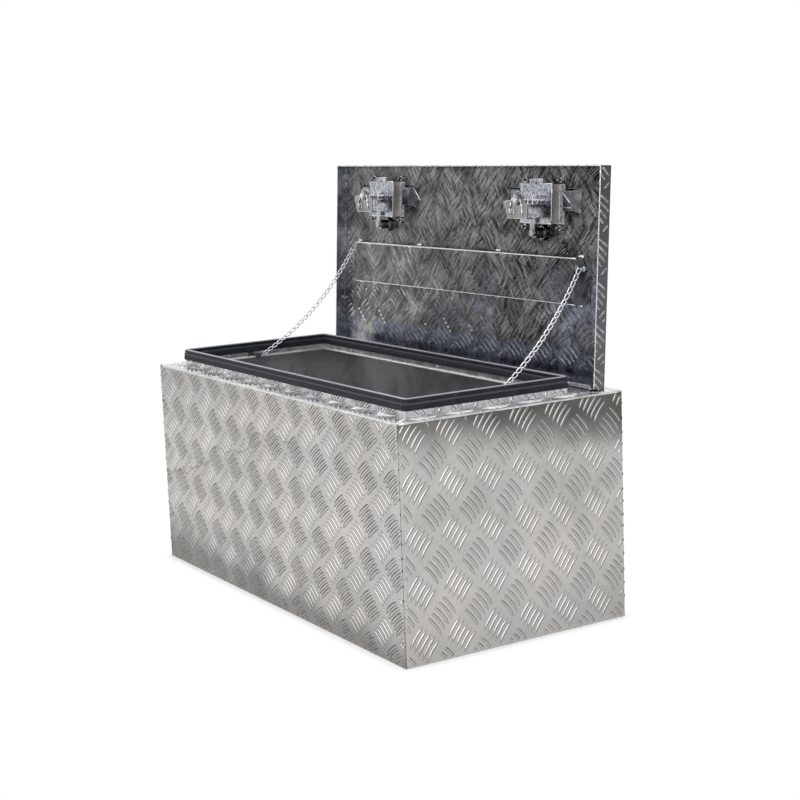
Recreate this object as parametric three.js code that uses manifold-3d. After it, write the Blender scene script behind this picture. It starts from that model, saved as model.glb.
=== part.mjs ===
// Pickup truck tool box: an aluminium tread-plate chest with a hinged pan lid,
// shown with its lid wide open. Millimetres, +Z up, +X along the chest, +Y to the back.
// The origin is the centre of the chest's base.

import * as THREE from "three";
import { mergeVertices } from "three/addons/utils/BufferGeometryUtils.js";
import Module from "manifold-3d";

const wasm = await Module();
wasm.setup();

// Chest
const boxLength = 914;
const boxWidth = 457;
const boxHeight = 403;
const sheet = 2;
const gap = 0.3;

// Raised lip round the opening, and the rubber trim on it
const endLedge = 38;
const frontLedge = 42;
const backLedge = 89.9;
const lipHeight = 25;
const lipCentreX = boxLength / 2 - endLedge;
const lipCentreFrontY = frontLedge - boxWidth / 2;
const lipCentreBackY = boxWidth / 2 - backLedge;
const lipTop = boxHeight + lipHeight;
const sealWidth = 10;
const sealClear = 12.9;
const sealClipHeight = 10.6;
const bulbHeight = 7.8;
const sealBottom = boxHeight + sealClear;
const sealShoulder = sealBottom + sealClipHeight;
const sealTop = sealShoulder + bulbHeight;
const bulbWidth = 7.6;
const bulbBevel = 2.4;
const bulbBevelSteps = 2;
const sealOuterRadius = 8;
const sealSlotClearance = 0.3;
const cornerSegments = 2;

// Hinge
const hingeFromBack = 51.5;
const hingeRise = 8.2;
const hingeY = boxWidth / 2 - hingeFromBack;
const hingeZ = boxHeight + hingeRise;
const openAngle = THREE.MathUtils.degToRad(93.5);
const knuckleRadius = 4;
const knuckleCount = 16;
const knuckleSideGap = 0.4;
const knuckleNotch = 0.5;
const leafThickness = 1.5;
const bodyLeafFoot = 18;
const lidLeafTop = 22.4;
const pinRadius = 1.7;
const pinBoreRadius = 2.2;
const pinOverhang = 1.5;
const hingeSegments = 10;

// Lid, in its own frame: origin on the hinge line, lid lying closed
const lidEndInset = 14.3;
const lidFrontReach = 14.1;
const lidHalfLength = boxLength / 2 - lidEndInset;
const lidDepth = hingeY - lipCentreFrontY + lidFrontReach;
const lidBack = 6.3;
const lidTop = 25.5;
const flangeLow = 2.5;
const backFlangeLow = 11.3;
const panelInner = lidTop - sheet;
const hingeEndInset = 6.7;
const hingeHalfLength = lidHalfLength - hingeEndInset;

// Channel across the inside of the lid
const channelEndInset = 66.7;
const channelHalfLength = lidHalfLength - channelEndInset;
const channelFromFront = 159.6;
const channelWidth = 82;
const channelFront = lidDepth - channelFromFront;
const channelBack = channelFront - channelWidth;
const channelDepth = 16;
const channelFootLength = 24;
const channelFootInset = 2;

// Stay chains
const chainLinks = 24;
const lowerLinks = 11;
const chainSag = 19;
const wireRadius = 1.25;
const linkWidth = 9;
const linkOverlap = 0.35;
const linkRunningGap = 0.35;
const linkTwist = Math.PI / 2;
const linkSteps = 10;
const wireSides = 5;
const tabInset = 10;
const tabFromBack = 246.5;
const tabRise = 2;
const tabX = lipCentreX - tabInset;
const tabY = boxWidth / 2 - tabFromBack;
const tabZ = boxHeight + tabRise;
const tabThickness = 1.6;
const tabRimRadius = 5.6;
const tabHoleRadius = 3.4;
const tabHoleClearance = 0.55;
const tabLegLength = 14;
const tabHalfHeight = 5;
const tabFootLength = 16;
const tabFootRise = 9.6;
const tabFootTop = tabZ + tabFootRise;
const eyeFromChannel = 10;
const eyeFromFront = 18;
const eyeX = channelHalfLength + eyeFromChannel;
const eyeReach = channelFront - eyeFromFront;
const eyeOff = 10;
const eyeRadius = 4.6;
const eyeWire = 1.1;
const eyeShankRadius = 1.8;
const eyeCollarRadius = 5;
const eyeCollarHeight = 3;
const eyeHoleRadius = 2.2;
const eyeSteps = 12;

// Latches, in a frame of their own whose origin is over the middle of the bracket
const latchFromEnd = 179.7;
const latchFromFront = 67.6;
const latchX = lidHalfLength - latchFromEnd;
const latchReach = lidDepth - latchFromFront;
const spindleShift = -6;
const keyShift = 52;
const plateHalfLength = 118;
const plateFront = -56;
const plateBack = 70;
const plateRadius = 10;
const plateThickness = 1.5;
const trayWall = 1.2;
const pocketHalfLength = 41;
const pocketHalfWidth = 29;
const pocketFloorHalfLength = 37;
const pocketFloorHalfWidth = 26;
const pocketDepth = 18;
const sidePocketNear = 63;
const sidePocketFar = 103;
const sidePocketFloorNear = 66;
const sidePocketFloorFar = 88;
const sidePocketHalfWidth = 20;
const sidePocketFloorHalfWidth = 16;
const sidePocketDepth = 10;
const lidHoleClearance = 0.5;
const studX = 51;
const studY = 42;
const studRadius = 2.5;
const studReach = 12;
const studHoleRadius = 3;
const studNutRadius = 4.9;
const studNutHeight = 4.5;
const studNutBore = 2.85;
const bracketHalfLength = 46;
const bracketHalfWidth = 35;
const bracketFootEnd = 60;
const bracketTabHalfLength = 19;
const bracketTabReach = 8;
const bracketTabHoleInset = 1;
const bracketTabHoleRadius = 3.2;
const spindleRadius = 5;
const spindleTop = 22;
const spindleEnd = -43.6;
const shaftClearance = 0.5;
const handleHubRadius = 12.5;
const handleHalfLength = 44;
const handleWidth = 17;
const handleHeight = 11;
const handleBevel = 2.5;
const handleBevelSteps = 2;
const handleFloorGap = 0.5;
const handleHubFillet = 4;
const handleBoreTop = 22.5;
const springRadius = 8;
const springWire = 0.9;
const springTurns = 6;
const springStepsPerTurn = 8;
const springWireSides = 4;
const springSeatGap = 0.3;
const washerTop = -31.2;
const washerThickness = 2;
const washerRadius = 12;
const camTop = -33.5;
const camThickness = 2.5;
const camHeadRadius = 16;
const camRight = 28;
const camSkirt = 33;
const camSkirtLeft = -30;
const camShoulder = 8.25;
const camNoseRoot = -36;
const camNoseTip = -56;
const camNoseTopNear = -1;
const camNoseTop = -3;
const camNoseLow = -13;
const camNoseLowNear = -15;
const camNoseStep = 10;
const camFlange = 10;
const camNutRadius = 9;
const camNutHeight = 6;
const hexSides = 6;
const roundSides = 16;
const smallSides = 10;

// Key locks
const barrelRadius = 9.5;
const barrelBore = 6.4;
const barrelHeadRadius = 12.5;
const barrelHeadHeight = 3.4;
const barrelReach = 22;
const plugRadius = 6;
const plugNeckRadius = 3.8;
const plugEnd = -5.2;
const plugTopInset = 0.6;
const keySlotWidth = 1.4;
const keySlotLength = 7;
const keySlotDepth = 6;
const keyNutRadius = 14;
const keyNutHeight = 5.5;
const keyNutBore = 10;
const keyHoleRadius = 10;
const keyCamTop = -0.8;
const keyCamThickness = 2.4;
const keyCamHalfWidth = 6.5;
const keyCamReach = 27;

// Materials
const treadPlate = { color: 0xc4c3c0, roughness: 0.34, metalness: 1 };
const lidPlate = { color: 0x9a9ca2, roughness: 0.28, metalness: 1 };
const zinc = { color: 0xbcc3cb, roughness: 0.3, metalness: 1 };
const rubber = { color: 0x2c2e33, roughness: 0.62, metalness: 0 };
const darkSteel = { color: 0x25272b, roughness: 0.42, metalness: 1 };

const toolBox = new THREE.Group();
const lid = new THREE.Group();
lid.position.set(0, hingeY, hingeZ);
lid.rotation.x = -openAngle;
toolBox.add(lid);

// Turns a closed geometry into a solid that can be joined and cut.
function solid(geometry) {
  const bare = geometry.clone();
  bare.deleteAttribute("normal");
  bare.deleteAttribute("uv");
  const merged = mergeVertices(bare);
  const index = merged.index.array;
  const triVerts = Uint32Array.from(index);
  const vertProperties = Float32Array.from(merged.attributes.position.array);
  return new wasm.Manifold(new wasm.Mesh({ numProp: 3, vertProperties, triVerts }));
}

// Adds a solid to its group as a named mesh with its own material.
function place(group, name, shape, look) {
  const mesh = shape.getMesh();
  const geometry = new THREE.BufferGeometry();
  geometry.setAttribute("position", new THREE.BufferAttribute(mesh.vertProperties, 3));
  geometry.setIndex(new THREE.BufferAttribute(mesh.triVerts, 1));
  geometry.computeVertexNormals();
  const piece = new THREE.Mesh(geometry, new THREE.MeshStandardMaterial(look));
  piece.name = name;
  group.add(piece);
  return piece;
}

function block([x0, x1], [y0, y1], [z0, z1]) {
  const geometry = new THREE.BoxGeometry(x1 - x0, y1 - y0, z1 - z0);
  geometry.translate((x0 + x1) / 2, (y0 + y1) / 2, (z0 + z1) / 2);
  return solid(geometry);
}

// An upright cylinder between two heights.
function post(radius, x, y, [z0, z1], sides) {
  const geometry = new THREE.CylinderGeometry(radius, radius, z1 - z0, sides);
  geometry.rotateX(Math.PI / 2);
  geometry.translate(x, y, (z0 + z1) / 2);
  return solid(geometry);
}

// A cylinder lying along X.
function rod(radius, [x0, x1], y, z, sides) {
  const geometry = new THREE.CylinderGeometry(radius, radius, x1 - x0, sides);
  geometry.rotateZ(Math.PI / 2);
  geometry.translate((x0 + x1) / 2, y, z);
  return solid(geometry);
}

// A block whose lower face is another rectangle than its upper face.
function taperedBlock(topX, topY, lowX, lowY, [z0, z1]) {
  const geometry = new THREE.BoxGeometry(1, 1, 1);
  const position = geometry.attributes.position;
  for (let i = 0; i < position.count; i += 1) {
    const upper = position.getZ(i) > 0;
    const spanX = upper ? topX : lowX;
    const spanY = upper ? topY : lowY;
    const x = position.getX(i) > 0 ? spanX[1] : spanX[0];
    const y = position.getY(i) > 0 ? spanY[1] : spanY[0];
    position.setXYZ(i, x, y, upper ? z1 : z0);
  }
  return solid(geometry);
}

function outline(points) {
  return new THREE.Shape(points.map(([x, y]) => new THREE.Vector2(x, y)));
}

function roundedOutline([x0, x1], [y0, y1], radius) {
  const shape = new THREE.Shape();
  shape.moveTo(x0 + radius, y0);
  shape.lineTo(x1 - radius, y0);
  shape.absarc(x1 - radius, y0 + radius, radius, -Math.PI / 2, 0);
  shape.lineTo(x1, y1 - radius);
  shape.absarc(x1 - radius, y1 - radius, radius, 0, Math.PI / 2);
  shape.lineTo(x0 + radius, y1);
  shape.absarc(x0 + radius, y1 - radius, radius, Math.PI / 2, Math.PI);
  shape.lineTo(x0, y0 + radius);
  shape.absarc(x0 + radius, y0 + radius, radius, Math.PI, Math.PI * 1.5);
  return shape;
}

// Extrudes an outline upward between two heights.
function slab(shape, [z0, z1], options = {}) {
  const settings = { depth: z1 - z0, bevelEnabled: false, curveSegments: cornerSegments, ...options };
  const geometry = new THREE.ExtrudeGeometry(shape, settings);
  geometry.translate(0, 0, z0);
  return solid(geometry);
}

function joined(parts) {
  return parts.reduce((whole, part) => whole.add(part));
}

// Walls of the chest: each is one sheet folded into a wall, a ledge and a raised lip.
// A wall is folded along X, then turned to its side, then its ends are cut on the mitre.
const halfX = boxLength / 2;
const halfY = boxWidth / 2;
const lipInnerX = lipCentreX - sheet / 2;
const lipInnerFrontY = lipCentreFrontY + sheet / 2;
const lipInnerBackY = lipCentreBackY - sheet / 2;

function foldedWall(outer, lipInner, halfLength, turn) {
  const lipOuter = lipInner + sheet;
  const long = [-halfLength, halfLength];
  const wall = joined([
    block(long, [-outer, -outer + sheet], [0, boxHeight]),
    block(long, [-outer, -lipInner], [boxHeight - sheet, boxHeight]),
    block(long, [-lipOuter, -lipInner], [boxHeight - sheet, lipTop]),
  ]);
  return wall.rotate([0, 0, turn]);
}

// The plan of one mitred wall, from its outer corners to the corners of the opening.
function mitrePlan(outerA, outerB, innerB, innerA) {
  const corners = [outerA, outerB, innerB, innerA].map(([x, y]) => new THREE.Vector2(x, y));
  const edgeA = corners[3].clone().sub(corners[0]).normalize();
  const edgeB = corners[2].clone().sub(corners[1]).normalize();
  const along = corners[1].clone().sub(corners[0]).normalize();
  const shiftA = gap / 2 / Math.abs(along.cross(edgeA));
  const shiftB = gap / 2 / Math.abs(along.cross(edgeB));
  const reach = edgeA.dot(corners[3].clone().sub(corners[0])) / 2;
  const plan = [
    corners[0].clone().addScaledVector(along, shiftA).addScaledVector(edgeA, -reach),
    corners[1].clone().addScaledVector(along, -shiftB).addScaledVector(edgeB, -reach),
    corners[2].clone().addScaledVector(along, -shiftB).addScaledVector(edgeB, reach),
    corners[3].clone().addScaledVector(along, shiftA).addScaledVector(edgeA, reach),
  ];
  return slab(new THREE.Shape(plan), [-sheet, lipTop + sheet]);
}

const outerCorner = {
  frontLeft: [-halfX, -halfY],
  frontRight: [halfX, -halfY],
  backRight: [halfX, halfY],
  backLeft: [-halfX, halfY],
};
const innerCorner = {
  frontLeft: [-lipInnerX, lipInnerFrontY],
  frontRight: [lipInnerX, lipInnerFrontY],
  backRight: [lipInnerX, lipInnerBackY],
  backLeft: [-lipInnerX, lipInnerBackY],
};
const walls = [
  ["front_panel", halfY, -lipInnerFrontY, halfX, 0, "frontLeft", "frontRight"],
  ["right_end_panel", halfX, lipInnerX, halfX, 90, "frontRight", "backRight"],
  ["back_panel", halfY, lipInnerBackY, halfX, 180, "backRight", "backLeft"],
  ["left_end_panel", halfX, lipInnerX, halfX, 270, "backLeft", "frontLeft"],
];
// The lips end at each other's outer faces, so that the trim fits over their corners.
const aboveLedge = [boxHeight, lipTop + sheet];
const outsideLip = block([-boxLength, boxLength], [-boxWidth, boxWidth], aboveLedge).subtract(
  block([-lipInnerX - sheet, lipInnerX + sheet], [lipInnerFrontY - sheet, lipInnerBackY + sheet], aboveLedge),
);
for (const [name, outer, lipInner, halfLength, turn, a, b] of walls) {
  const plan = mitrePlan(outerCorner[a], outerCorner[b], innerCorner[b], innerCorner[a]);
  const wall = foldedWall(outer, lipInner, halfLength, turn).intersect(plan);
  place(toolBox, name, wall.subtract(outsideLip), treadPlate);
}

const floorX = halfX - sheet - gap;
const floorY = halfY - sheet - gap;
place(toolBox, "floor_panel", block([-floorX, floorX], [-floorY, floorY], [0, sheet]), treadPlate);

// Rubber trim: a clip over the lip with a bulb on top.
function ring(halfWidth, radius) {
  const outerX = lipCentreX + halfWidth;
  const innerX = lipCentreX - halfWidth;
  const outerSpan = [lipCentreFrontY - halfWidth, lipCentreBackY + halfWidth];
  const innerSpan = [lipCentreFrontY + halfWidth, lipCentreBackY - halfWidth];
  const shape = roundedOutline([-outerX, outerX], outerSpan, radius);
  shape.holes.push(roundedOutline([-innerX, innerX], innerSpan, Math.max(radius - halfWidth, sheet)));
  return shape;
}

const bulbCore = bulbWidth / 2 - bulbBevel;
const bulb = slab(ring(bulbCore, sealOuterRadius - bulbBevel), [sealShoulder, sealTop - bulbBevel], {
  bevelEnabled: true,
  bevelThickness: bulbBevel,
  bevelSize: bulbBevel,
  bevelSegments: bulbBevelSteps,
});
const clip = slab(ring(sealWidth / 2, sealOuterRadius), [sealBottom, sealShoulder]);
const slotHalf = sheet / 2 + sealSlotClearance;
const slotX = [-lipCentreX - slotHalf, lipCentreX + slotHalf];
const slotY = [lipCentreFrontY - slotHalf, lipCentreBackY + slotHalf];
const slotInnerX = [-lipCentreX + slotHalf, lipCentreX - slotHalf];
const slotInnerY = [lipCentreFrontY + slotHalf, lipCentreBackY - slotHalf];
const slotZ = [sealBottom - sheet, lipTop + sealSlotClearance];
const slot = block(slotX, slotY, slotZ).subtract(block(slotInnerX, slotInnerY, slotZ));
place(toolBox, "lip_seal", clip.add(bulb).subtract(slot), rubber);

// Continuous hinge: knuckles taken in turn by the body leaf and the lid leaf.
function knuckleSpans(first) {
  const pitch = (2 * hingeHalfLength) / knuckleCount;
  const spans = [];
  for (let i = first; i < knuckleCount; i += 2) {
    const start = -hingeHalfLength + i * pitch;
    spans.push([start + knuckleSideGap / 2, start + pitch - knuckleSideGap / 2]);
  }
  return spans;
}

// A leaf in the hinge's frame: its strip starts clear of the other leaf's knuckles.
function hingeLeaf(first, faceY, stripZ, tongueZ, extra) {
  const long = [-hingeHalfLength, hingeHalfLength];
  const parts = [block(long, faceY, stripZ), ...extra];
  for (const span of knuckleSpans(first)) {
    parts.push(block(span, faceY, tongueZ), rod(knuckleRadius, span, 0, 0, hingeSegments));
  }
  return joined(parts).subtract(rod(pinBoreRadius, [-halfX, halfX], 0, 0, hingeSegments));
}

const knuckleClear = knuckleRadius + knuckleNotch;
const leafInner = knuckleRadius - leafThickness;
const ledgeTop = boxHeight + gap - hingeZ;
const footSpanY = [-knuckleRadius - bodyLeafFoot, -leafInner];
const bodyFoot = block([-hingeHalfLength, hingeHalfLength], footSpanY, [ledgeTop, ledgeTop + leafThickness]);
const bodyLeaf = hingeLeaf(0, [-knuckleRadius, -leafInner], [ledgeTop, -knuckleClear],
  [-knuckleClear - leafThickness, 0], [bodyFoot]);
place(toolBox, "hinge_body_leaf", bodyLeaf.translate([0, hingeY, hingeZ]), zinc);
const lidLeaf = hingeLeaf(1, [leafInner, knuckleRadius], [knuckleClear, lidLeafTop],
  [0, knuckleClear + leafThickness], []);
place(lid, "hinge_lid_leaf", lidLeaf, zinc);
const pinSpan = [-hingeHalfLength - pinOverhang, hingeHalfLength + pinOverhang];
place(toolBox, "hinge_pin", rod(pinRadius, pinSpan, hingeY, hingeZ, hingeSegments), zinc);

// Lid: a pan with its flanges turned in, notched behind the hinge, and cut for the latches.
function sidePocket(side, grow, [z0, z1]) {
  const xs = (near, far) => (side > 0 ? [near - grow, far + grow] : [-far - grow, -near + grow]);
  const half = sidePocketHalfWidth + grow;
  const floorHalf = sidePocketFloorHalfWidth + grow;
  const middle = spindleShift;
  return taperedBlock(xs(sidePocketNear, sidePocketFar), [middle - half, middle + half],
    xs(sidePocketFloorNear, sidePocketFloorFar), [middle - floorHalf, middle + floorHalf], [z0, z1]);
}

function middlePocket(grow, [z0, z1]) {
  const half = pocketHalfWidth + grow;
  const floorHalf = pocketFloorHalfWidth + grow;
  const topX = pocketHalfLength + grow;
  const lowX = pocketFloorHalfLength + grow;
  return taperedBlock([-topX, topX], [spindleShift - half, spindleShift + half],
    [-lowX, lowX], [spindleShift - floorHalf, spindleShift + floorHalf], [z0, z1]);
}

const studPlaces = [
  ["front_left", -studX, -studY],
  ["front_right", studX, -studY],
  ["back_left", -studX, studY],
  ["back_right", studX, studY],
];
const plateLow = lidTop + gap;
const plateTop = plateLow + plateThickness;

function latchHoles() {
  const through = [panelInner - sheet, lidTop + sheet];
  const grow = trayWall + lidHoleClearance;
  const middleX = pocketHalfLength + grow;
  const middleY = pocketHalfWidth + grow;
  const sideY = [spindleShift - sidePocketHalfWidth - grow, spindleShift + sidePocketHalfWidth + grow];
  return joined([
    block([-middleX, middleX], [spindleShift - middleY, spindleShift + middleY], through),
    block([sidePocketNear - grow, sidePocketFar + grow], sideY, through),
    block([-sidePocketFar - grow, -sidePocketNear + grow], sideY, through),
    post(keyHoleRadius, 0, keyShift, through, roundSides),
    ...studPlaces.map(([, x, y]) => post(studHoleRadius, x, y, through, smallSides)),
  ]);
}

const innerLidX = lidHalfLength - sheet;
const lidOuter = block([-lidHalfLength, lidHalfLength], [-lidDepth, lidBack], [flangeLow, lidTop]);
const lidInner = block([-innerLidX, innerLidX], [-lidDepth + sheet, lidBack - sheet], [-sheet, panelInner]);
const backOpening = block([-innerLidX, innerLidX], [0, lidBack + sheet], [-sheet, backFlangeLow]);
const cornerCut = outline([[0, flangeLow], [lidBack, backFlangeLow], [lidBack + sheet, backFlangeLow],
  [lidBack + sheet, 0], [0, 0]]);
const cornerNotch = slab(cornerCut, [-boxLength, boxLength]).rotate([90, 0, 90]);
let lidPan = lidOuter.subtract(lidInner).subtract(backOpening).subtract(cornerNotch);
for (const side of [-1, 1]) {
  lidPan = lidPan.subtract(latchHoles().translate([side * latchX, -latchReach, 0]));
}
place(lid, "lid_pan", lidPan, lidPlate);

// Channel across the lid, open to the panel, with a foot at each end.
const channelLow = panelInner - channelDepth;
const channelTop = panelInner - gap;
const channelY = [-channelFront, -channelBack];
const channelInnerY = [channelY[0] + sheet, channelY[1] - sheet];
const channelInnerX = channelHalfLength - sheet;
const footEnd = channelHalfLength + channelFootLength;
const footY = [channelY[0] + channelFootInset, channelY[1] - channelFootInset];
const channelShell = block([-channelHalfLength, channelHalfLength], channelY, [channelLow, channelTop]);
const channelHollow = block([-channelInnerX, channelInnerX], channelInnerY, [channelLow + sheet, lidTop]);
let channel = channelShell.subtract(channelHollow);
for (const side of [-1, 1]) {
  const reach = side > 0 ? [channelInnerX, footEnd] : [-footEnd, -channelInnerX];
  channel = channel.add(block(reach, footY, [channelTop - sheet, channelTop]));
  const bore = [channelTop - 2 * sheet, lidTop];
  channel = channel.subtract(post(eyeHoleRadius, side * eyeX, -eyeReach, bore, smallSides));
}
place(lid, "lid_stiffener", channel, lidPlate);

// Chain anchors. A tab stands off the lip's inner face; an eye hangs from each foot of the channel.
const eyeCentreZ = panelInner - eyeOff;
for (const [name, side] of [["left", -1], ["right", 1]]) {
  const leg = [side * tabX - tabThickness / 2, side * tabX + tabThickness / 2];
  const lipFace = side * (lipInnerX - gap);
  const footFace = side * (lipInnerX - gap - tabThickness);
  const legFar = side * (tabX - tabThickness / 2);
  const sorted = (p, q) => [Math.min(p, q), Math.max(p, q)];
  const legFront = tabY - tabLegLength;
  const tab = joined([
    block(leg, [legFront, tabY], [tabZ - tabHalfHeight, tabZ + tabHalfHeight]),
    rod(tabRimRadius, leg, tabY, tabZ, roundSides),
    block(sorted(legFar, lipFace), [legFront - tabThickness, legFront], [tabZ - tabHalfHeight, tabZ + tabHalfHeight]),
    block(sorted(footFace, lipFace), [legFront - tabFootLength, legFront], [tabZ - tabHalfHeight, tabFootTop]),
  ]).subtract(rod(tabHoleRadius, [leg[0] - sheet, leg[1] + sheet], tabY, tabZ, roundSides));
  place(toolBox, `chain_tab_${name}`, tab, zinc);

  const eyeRing = new THREE.TorusGeometry(eyeRadius, eyeWire, wireSides, eyeSteps);
  eyeRing.rotateX(Math.PI / 2);
  eyeRing.translate(side * eyeX, -eyeReach, eyeCentreZ);
  const collarTop = channelTop - sheet - gap;
  const eye = joined([
    solid(eyeRing),
    post(eyeShankRadius, side * eyeX, -eyeReach, [eyeCentreZ + eyeRadius, channelTop], smallSides),
    post(eyeCollarRadius, side * eyeX, -eyeReach, [collarTop - eyeCollarHeight, collarTop], hexSides),
  ]);
  place(lid, `chain_eye_${name}`, eye, zinc);
}

// One twisted link: a stretched ring whose far end is a quarter turn from its near end.
const bendRadius = linkWidth / 2 - wireRadius;
function twistedLink(length) {
  const geometry = new THREE.TorusGeometry(bendRadius, wireRadius, wireSides, linkSteps);
  const position = geometry.attributes.position;
  const stretch = length / 2 - bendRadius;
  const snap = wireRadius / 100;
  for (let i = 0; i < position.count; i += 1) {
    const ringX = position.getX(i);
    const x = Math.abs(ringX) < snap ? 0 : ringX + Math.sign(ringX) * stretch;
    const angle = linkTwist * THREE.MathUtils.clamp(x / length, -0.5, 0.5) + linkTwist / 2;
    const y = position.getY(i);
    const z = position.getZ(i);
    position.setXYZ(i, x, y * Math.cos(angle) - z * Math.sin(angle), y * Math.sin(angle) + z * Math.cos(angle));
  }
  return geometry;
}

// Each chain hangs from the lowest point of its eye to its tab, in an arc with a small sag.
lid.updateMatrixWorld(true);
for (const [name, side] of [["left", -1], ["right", 1]]) {
  const low = new THREE.Vector3(side * tabX, tabY, tabZ);
  const high = new THREE.Vector3(side * eyeX, -eyeReach, eyeCentreZ - eyeRadius).applyMatrix4(lid.matrixWorld);
  const span = low.distanceTo(high);
  const chord = high.clone().sub(low).normalize();
  const down = new THREE.Vector3(0, 0, -1);
  down.addScaledVector(chord, -down.dot(chord)).normalize();
  const bend = (span * span / 4 + chainSag * chainSag) / (2 * chainSag);
  const halfTurn = Math.asin(span / (2 * bend));
  const start = tabHoleRadius - wireRadius - tabHoleClearance;
  const end = 2 * bend * halfTurn + eyeWire + wireRadius + linkRunningGap;
  const wireFlat = wireRadius * Math.cos(Math.PI / wireSides);
  const nest = 2 * wireFlat - linkOverlap;
  const looseNest = 2 * wireRadius + linkRunningGap;
  const length = (end - start + (chainLinks - 2) * nest + looseNest) / chainLinks;
  const halves = { lower: [], upper: [] };
  let near = start;
  for (let i = 0; i < chainLinks; i += 1) {
    const link = twistedLink(length);
    const turn = (near + length / 2) / bend - halfTurn;
    const along = chord.clone().multiplyScalar(Math.cos(turn)).addScaledVector(down, -Math.sin(turn));
    const across = new THREE.Vector3(1, 0, 0);
    across.addScaledVector(along, -across.dot(along)).normalize();
    const centre = low.clone().addScaledVector(chord, span / 2 + bend * Math.sin(turn));
    centre.addScaledVector(down, bend * Math.cos(turn) - bend * Math.cos(halfTurn));
    const basis = new THREE.Matrix4().makeBasis(along, across, along.clone().cross(across));
    basis.setPosition(centre);
    link.applyMatrix4(basis);
    halves[i < lowerLinks ? "lower" : "upper"].push(solid(link));
    near += length - (i === lowerLinks - 1 ? looseNest : nest);
  }
  place(toolBox, `chain_lower_${name}`, joined(halves.lower), zinc);
  place(toolBox, `chain_upper_${name}`, joined(halves.upper), zinc);
}

// Coil spring between the bracket and the washer.
class Helix extends THREE.Curve {
  constructor(radius, turns, top, low) {
    super();
    Object.assign(this, { radius, turns, top, low });
  }

  getPoint(t, target = new THREE.Vector3()) {
    const angle = 2 * Math.PI * this.turns * t;
    const z = this.top + (this.low - this.top) * t;
    return target.set(this.radius * Math.cos(angle), this.radius * Math.sin(angle), z);
  }
}

const bracketTop = panelInner - pocketDepth - gap;
const bracketLow = bracketTop - sheet;
const shaftBore = spindleRadius + shaftClearance;

function latchTray() {
  const plate = slab(roundedOutline([-plateHalfLength, plateHalfLength], [plateFront, plateBack], plateRadius),
    [plateLow, plateTop]);
  const middleLow = panelInner - pocketDepth;
  const sideLow = panelInner - sidePocketDepth;
  const open = plateTop + sheet;
  return joined([
    plate,
    middlePocket(trayWall, [middleLow, plateLow + trayWall]),
    sidePocket(1, trayWall, [sideLow, plateLow + trayWall]),
    sidePocket(-1, trayWall, [sideLow, plateLow + trayWall]),
  ])
    .subtract(middlePocket(0, [middleLow + trayWall, open]))
    .subtract(sidePocket(1, 0, [sideLow + trayWall, open]))
    .subtract(sidePocket(-1, 0, [sideLow + trayWall, open]))
    .subtract(post(shaftBore, 0, spindleShift, [middleLow - sheet, open], roundSides))
    .subtract(post(keyHoleRadius, 0, keyShift, [plateLow - sheet, open], roundSides))
    .add(joined(studPlaces.map(([, x, y]) => post(studRadius, x, y,
      [panelInner - studReach, plateTop - plateThickness / 2], smallSides))));
}

function latchBracket() {
  const wide = [-bracketHalfWidth, bracketHalfWidth];
  const footZ = [channelTop - sheet, channelTop];
  const tabFront = -bracketHalfWidth - bracketTabReach;
  const parts = [
    block([-bracketHalfLength, bracketHalfLength], wide, [bracketLow, bracketTop]),
    block([-bracketTabHalfLength, bracketTabHalfLength], [tabFront, 0], [bracketLow, bracketTop]),
  ];
  for (const side of [-1, 1]) {
    const legX = [side * bracketHalfLength, side * (bracketHalfLength - sheet)].sort((a, b) => a - b);
    const footX = [side * (bracketHalfLength - sheet), side * bracketFootEnd].sort((a, b) => a - b);
    parts.push(block(legX, wide, [bracketLow, channelTop]), block(footX, wide, footZ));
  }
  const through = [bracketLow - sheet, bracketTop + sheet];
  const holeY = -bracketHalfWidth - bracketTabHoleInset;
  return joined(parts)
    .subtract(post(shaftBore, 0, spindleShift, through, roundSides))
    .subtract(post(bracketTabHoleRadius, 0, holeY, through, smallSides));
}

// Handle: a hub in the tray with a bar across its top, along Y while the latch is open.
function latchHandle() {
  const bar = roundedOutline([-handleWidth / 2 + handleBevel, handleWidth / 2 - handleBevel],
    [-handleHalfLength + handleBevel, handleHalfLength - handleBevel], handleWidth / 2 - handleBevel);
  const barLow = plateTop + gap + handleBevel;
  const barTop = plateTop + gap + handleHeight - handleBevel;
  const hubLow = panelInner - pocketDepth + trayWall + handleFloorGap;
  return joined([
    slab(bar, [barLow, barTop], {
      bevelEnabled: true,
      bevelThickness: handleBevel,
      bevelSize: handleBevel,
      bevelSegments: handleBevelSteps,
    }),
    post(handleHubRadius, 0, 0, [hubLow, barLow + handleHubFillet], roundSides),
  ]).subtract(post(shaftBore, 0, 0, [hubLow - sheet, handleBoreTop], roundSides));
}

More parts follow.
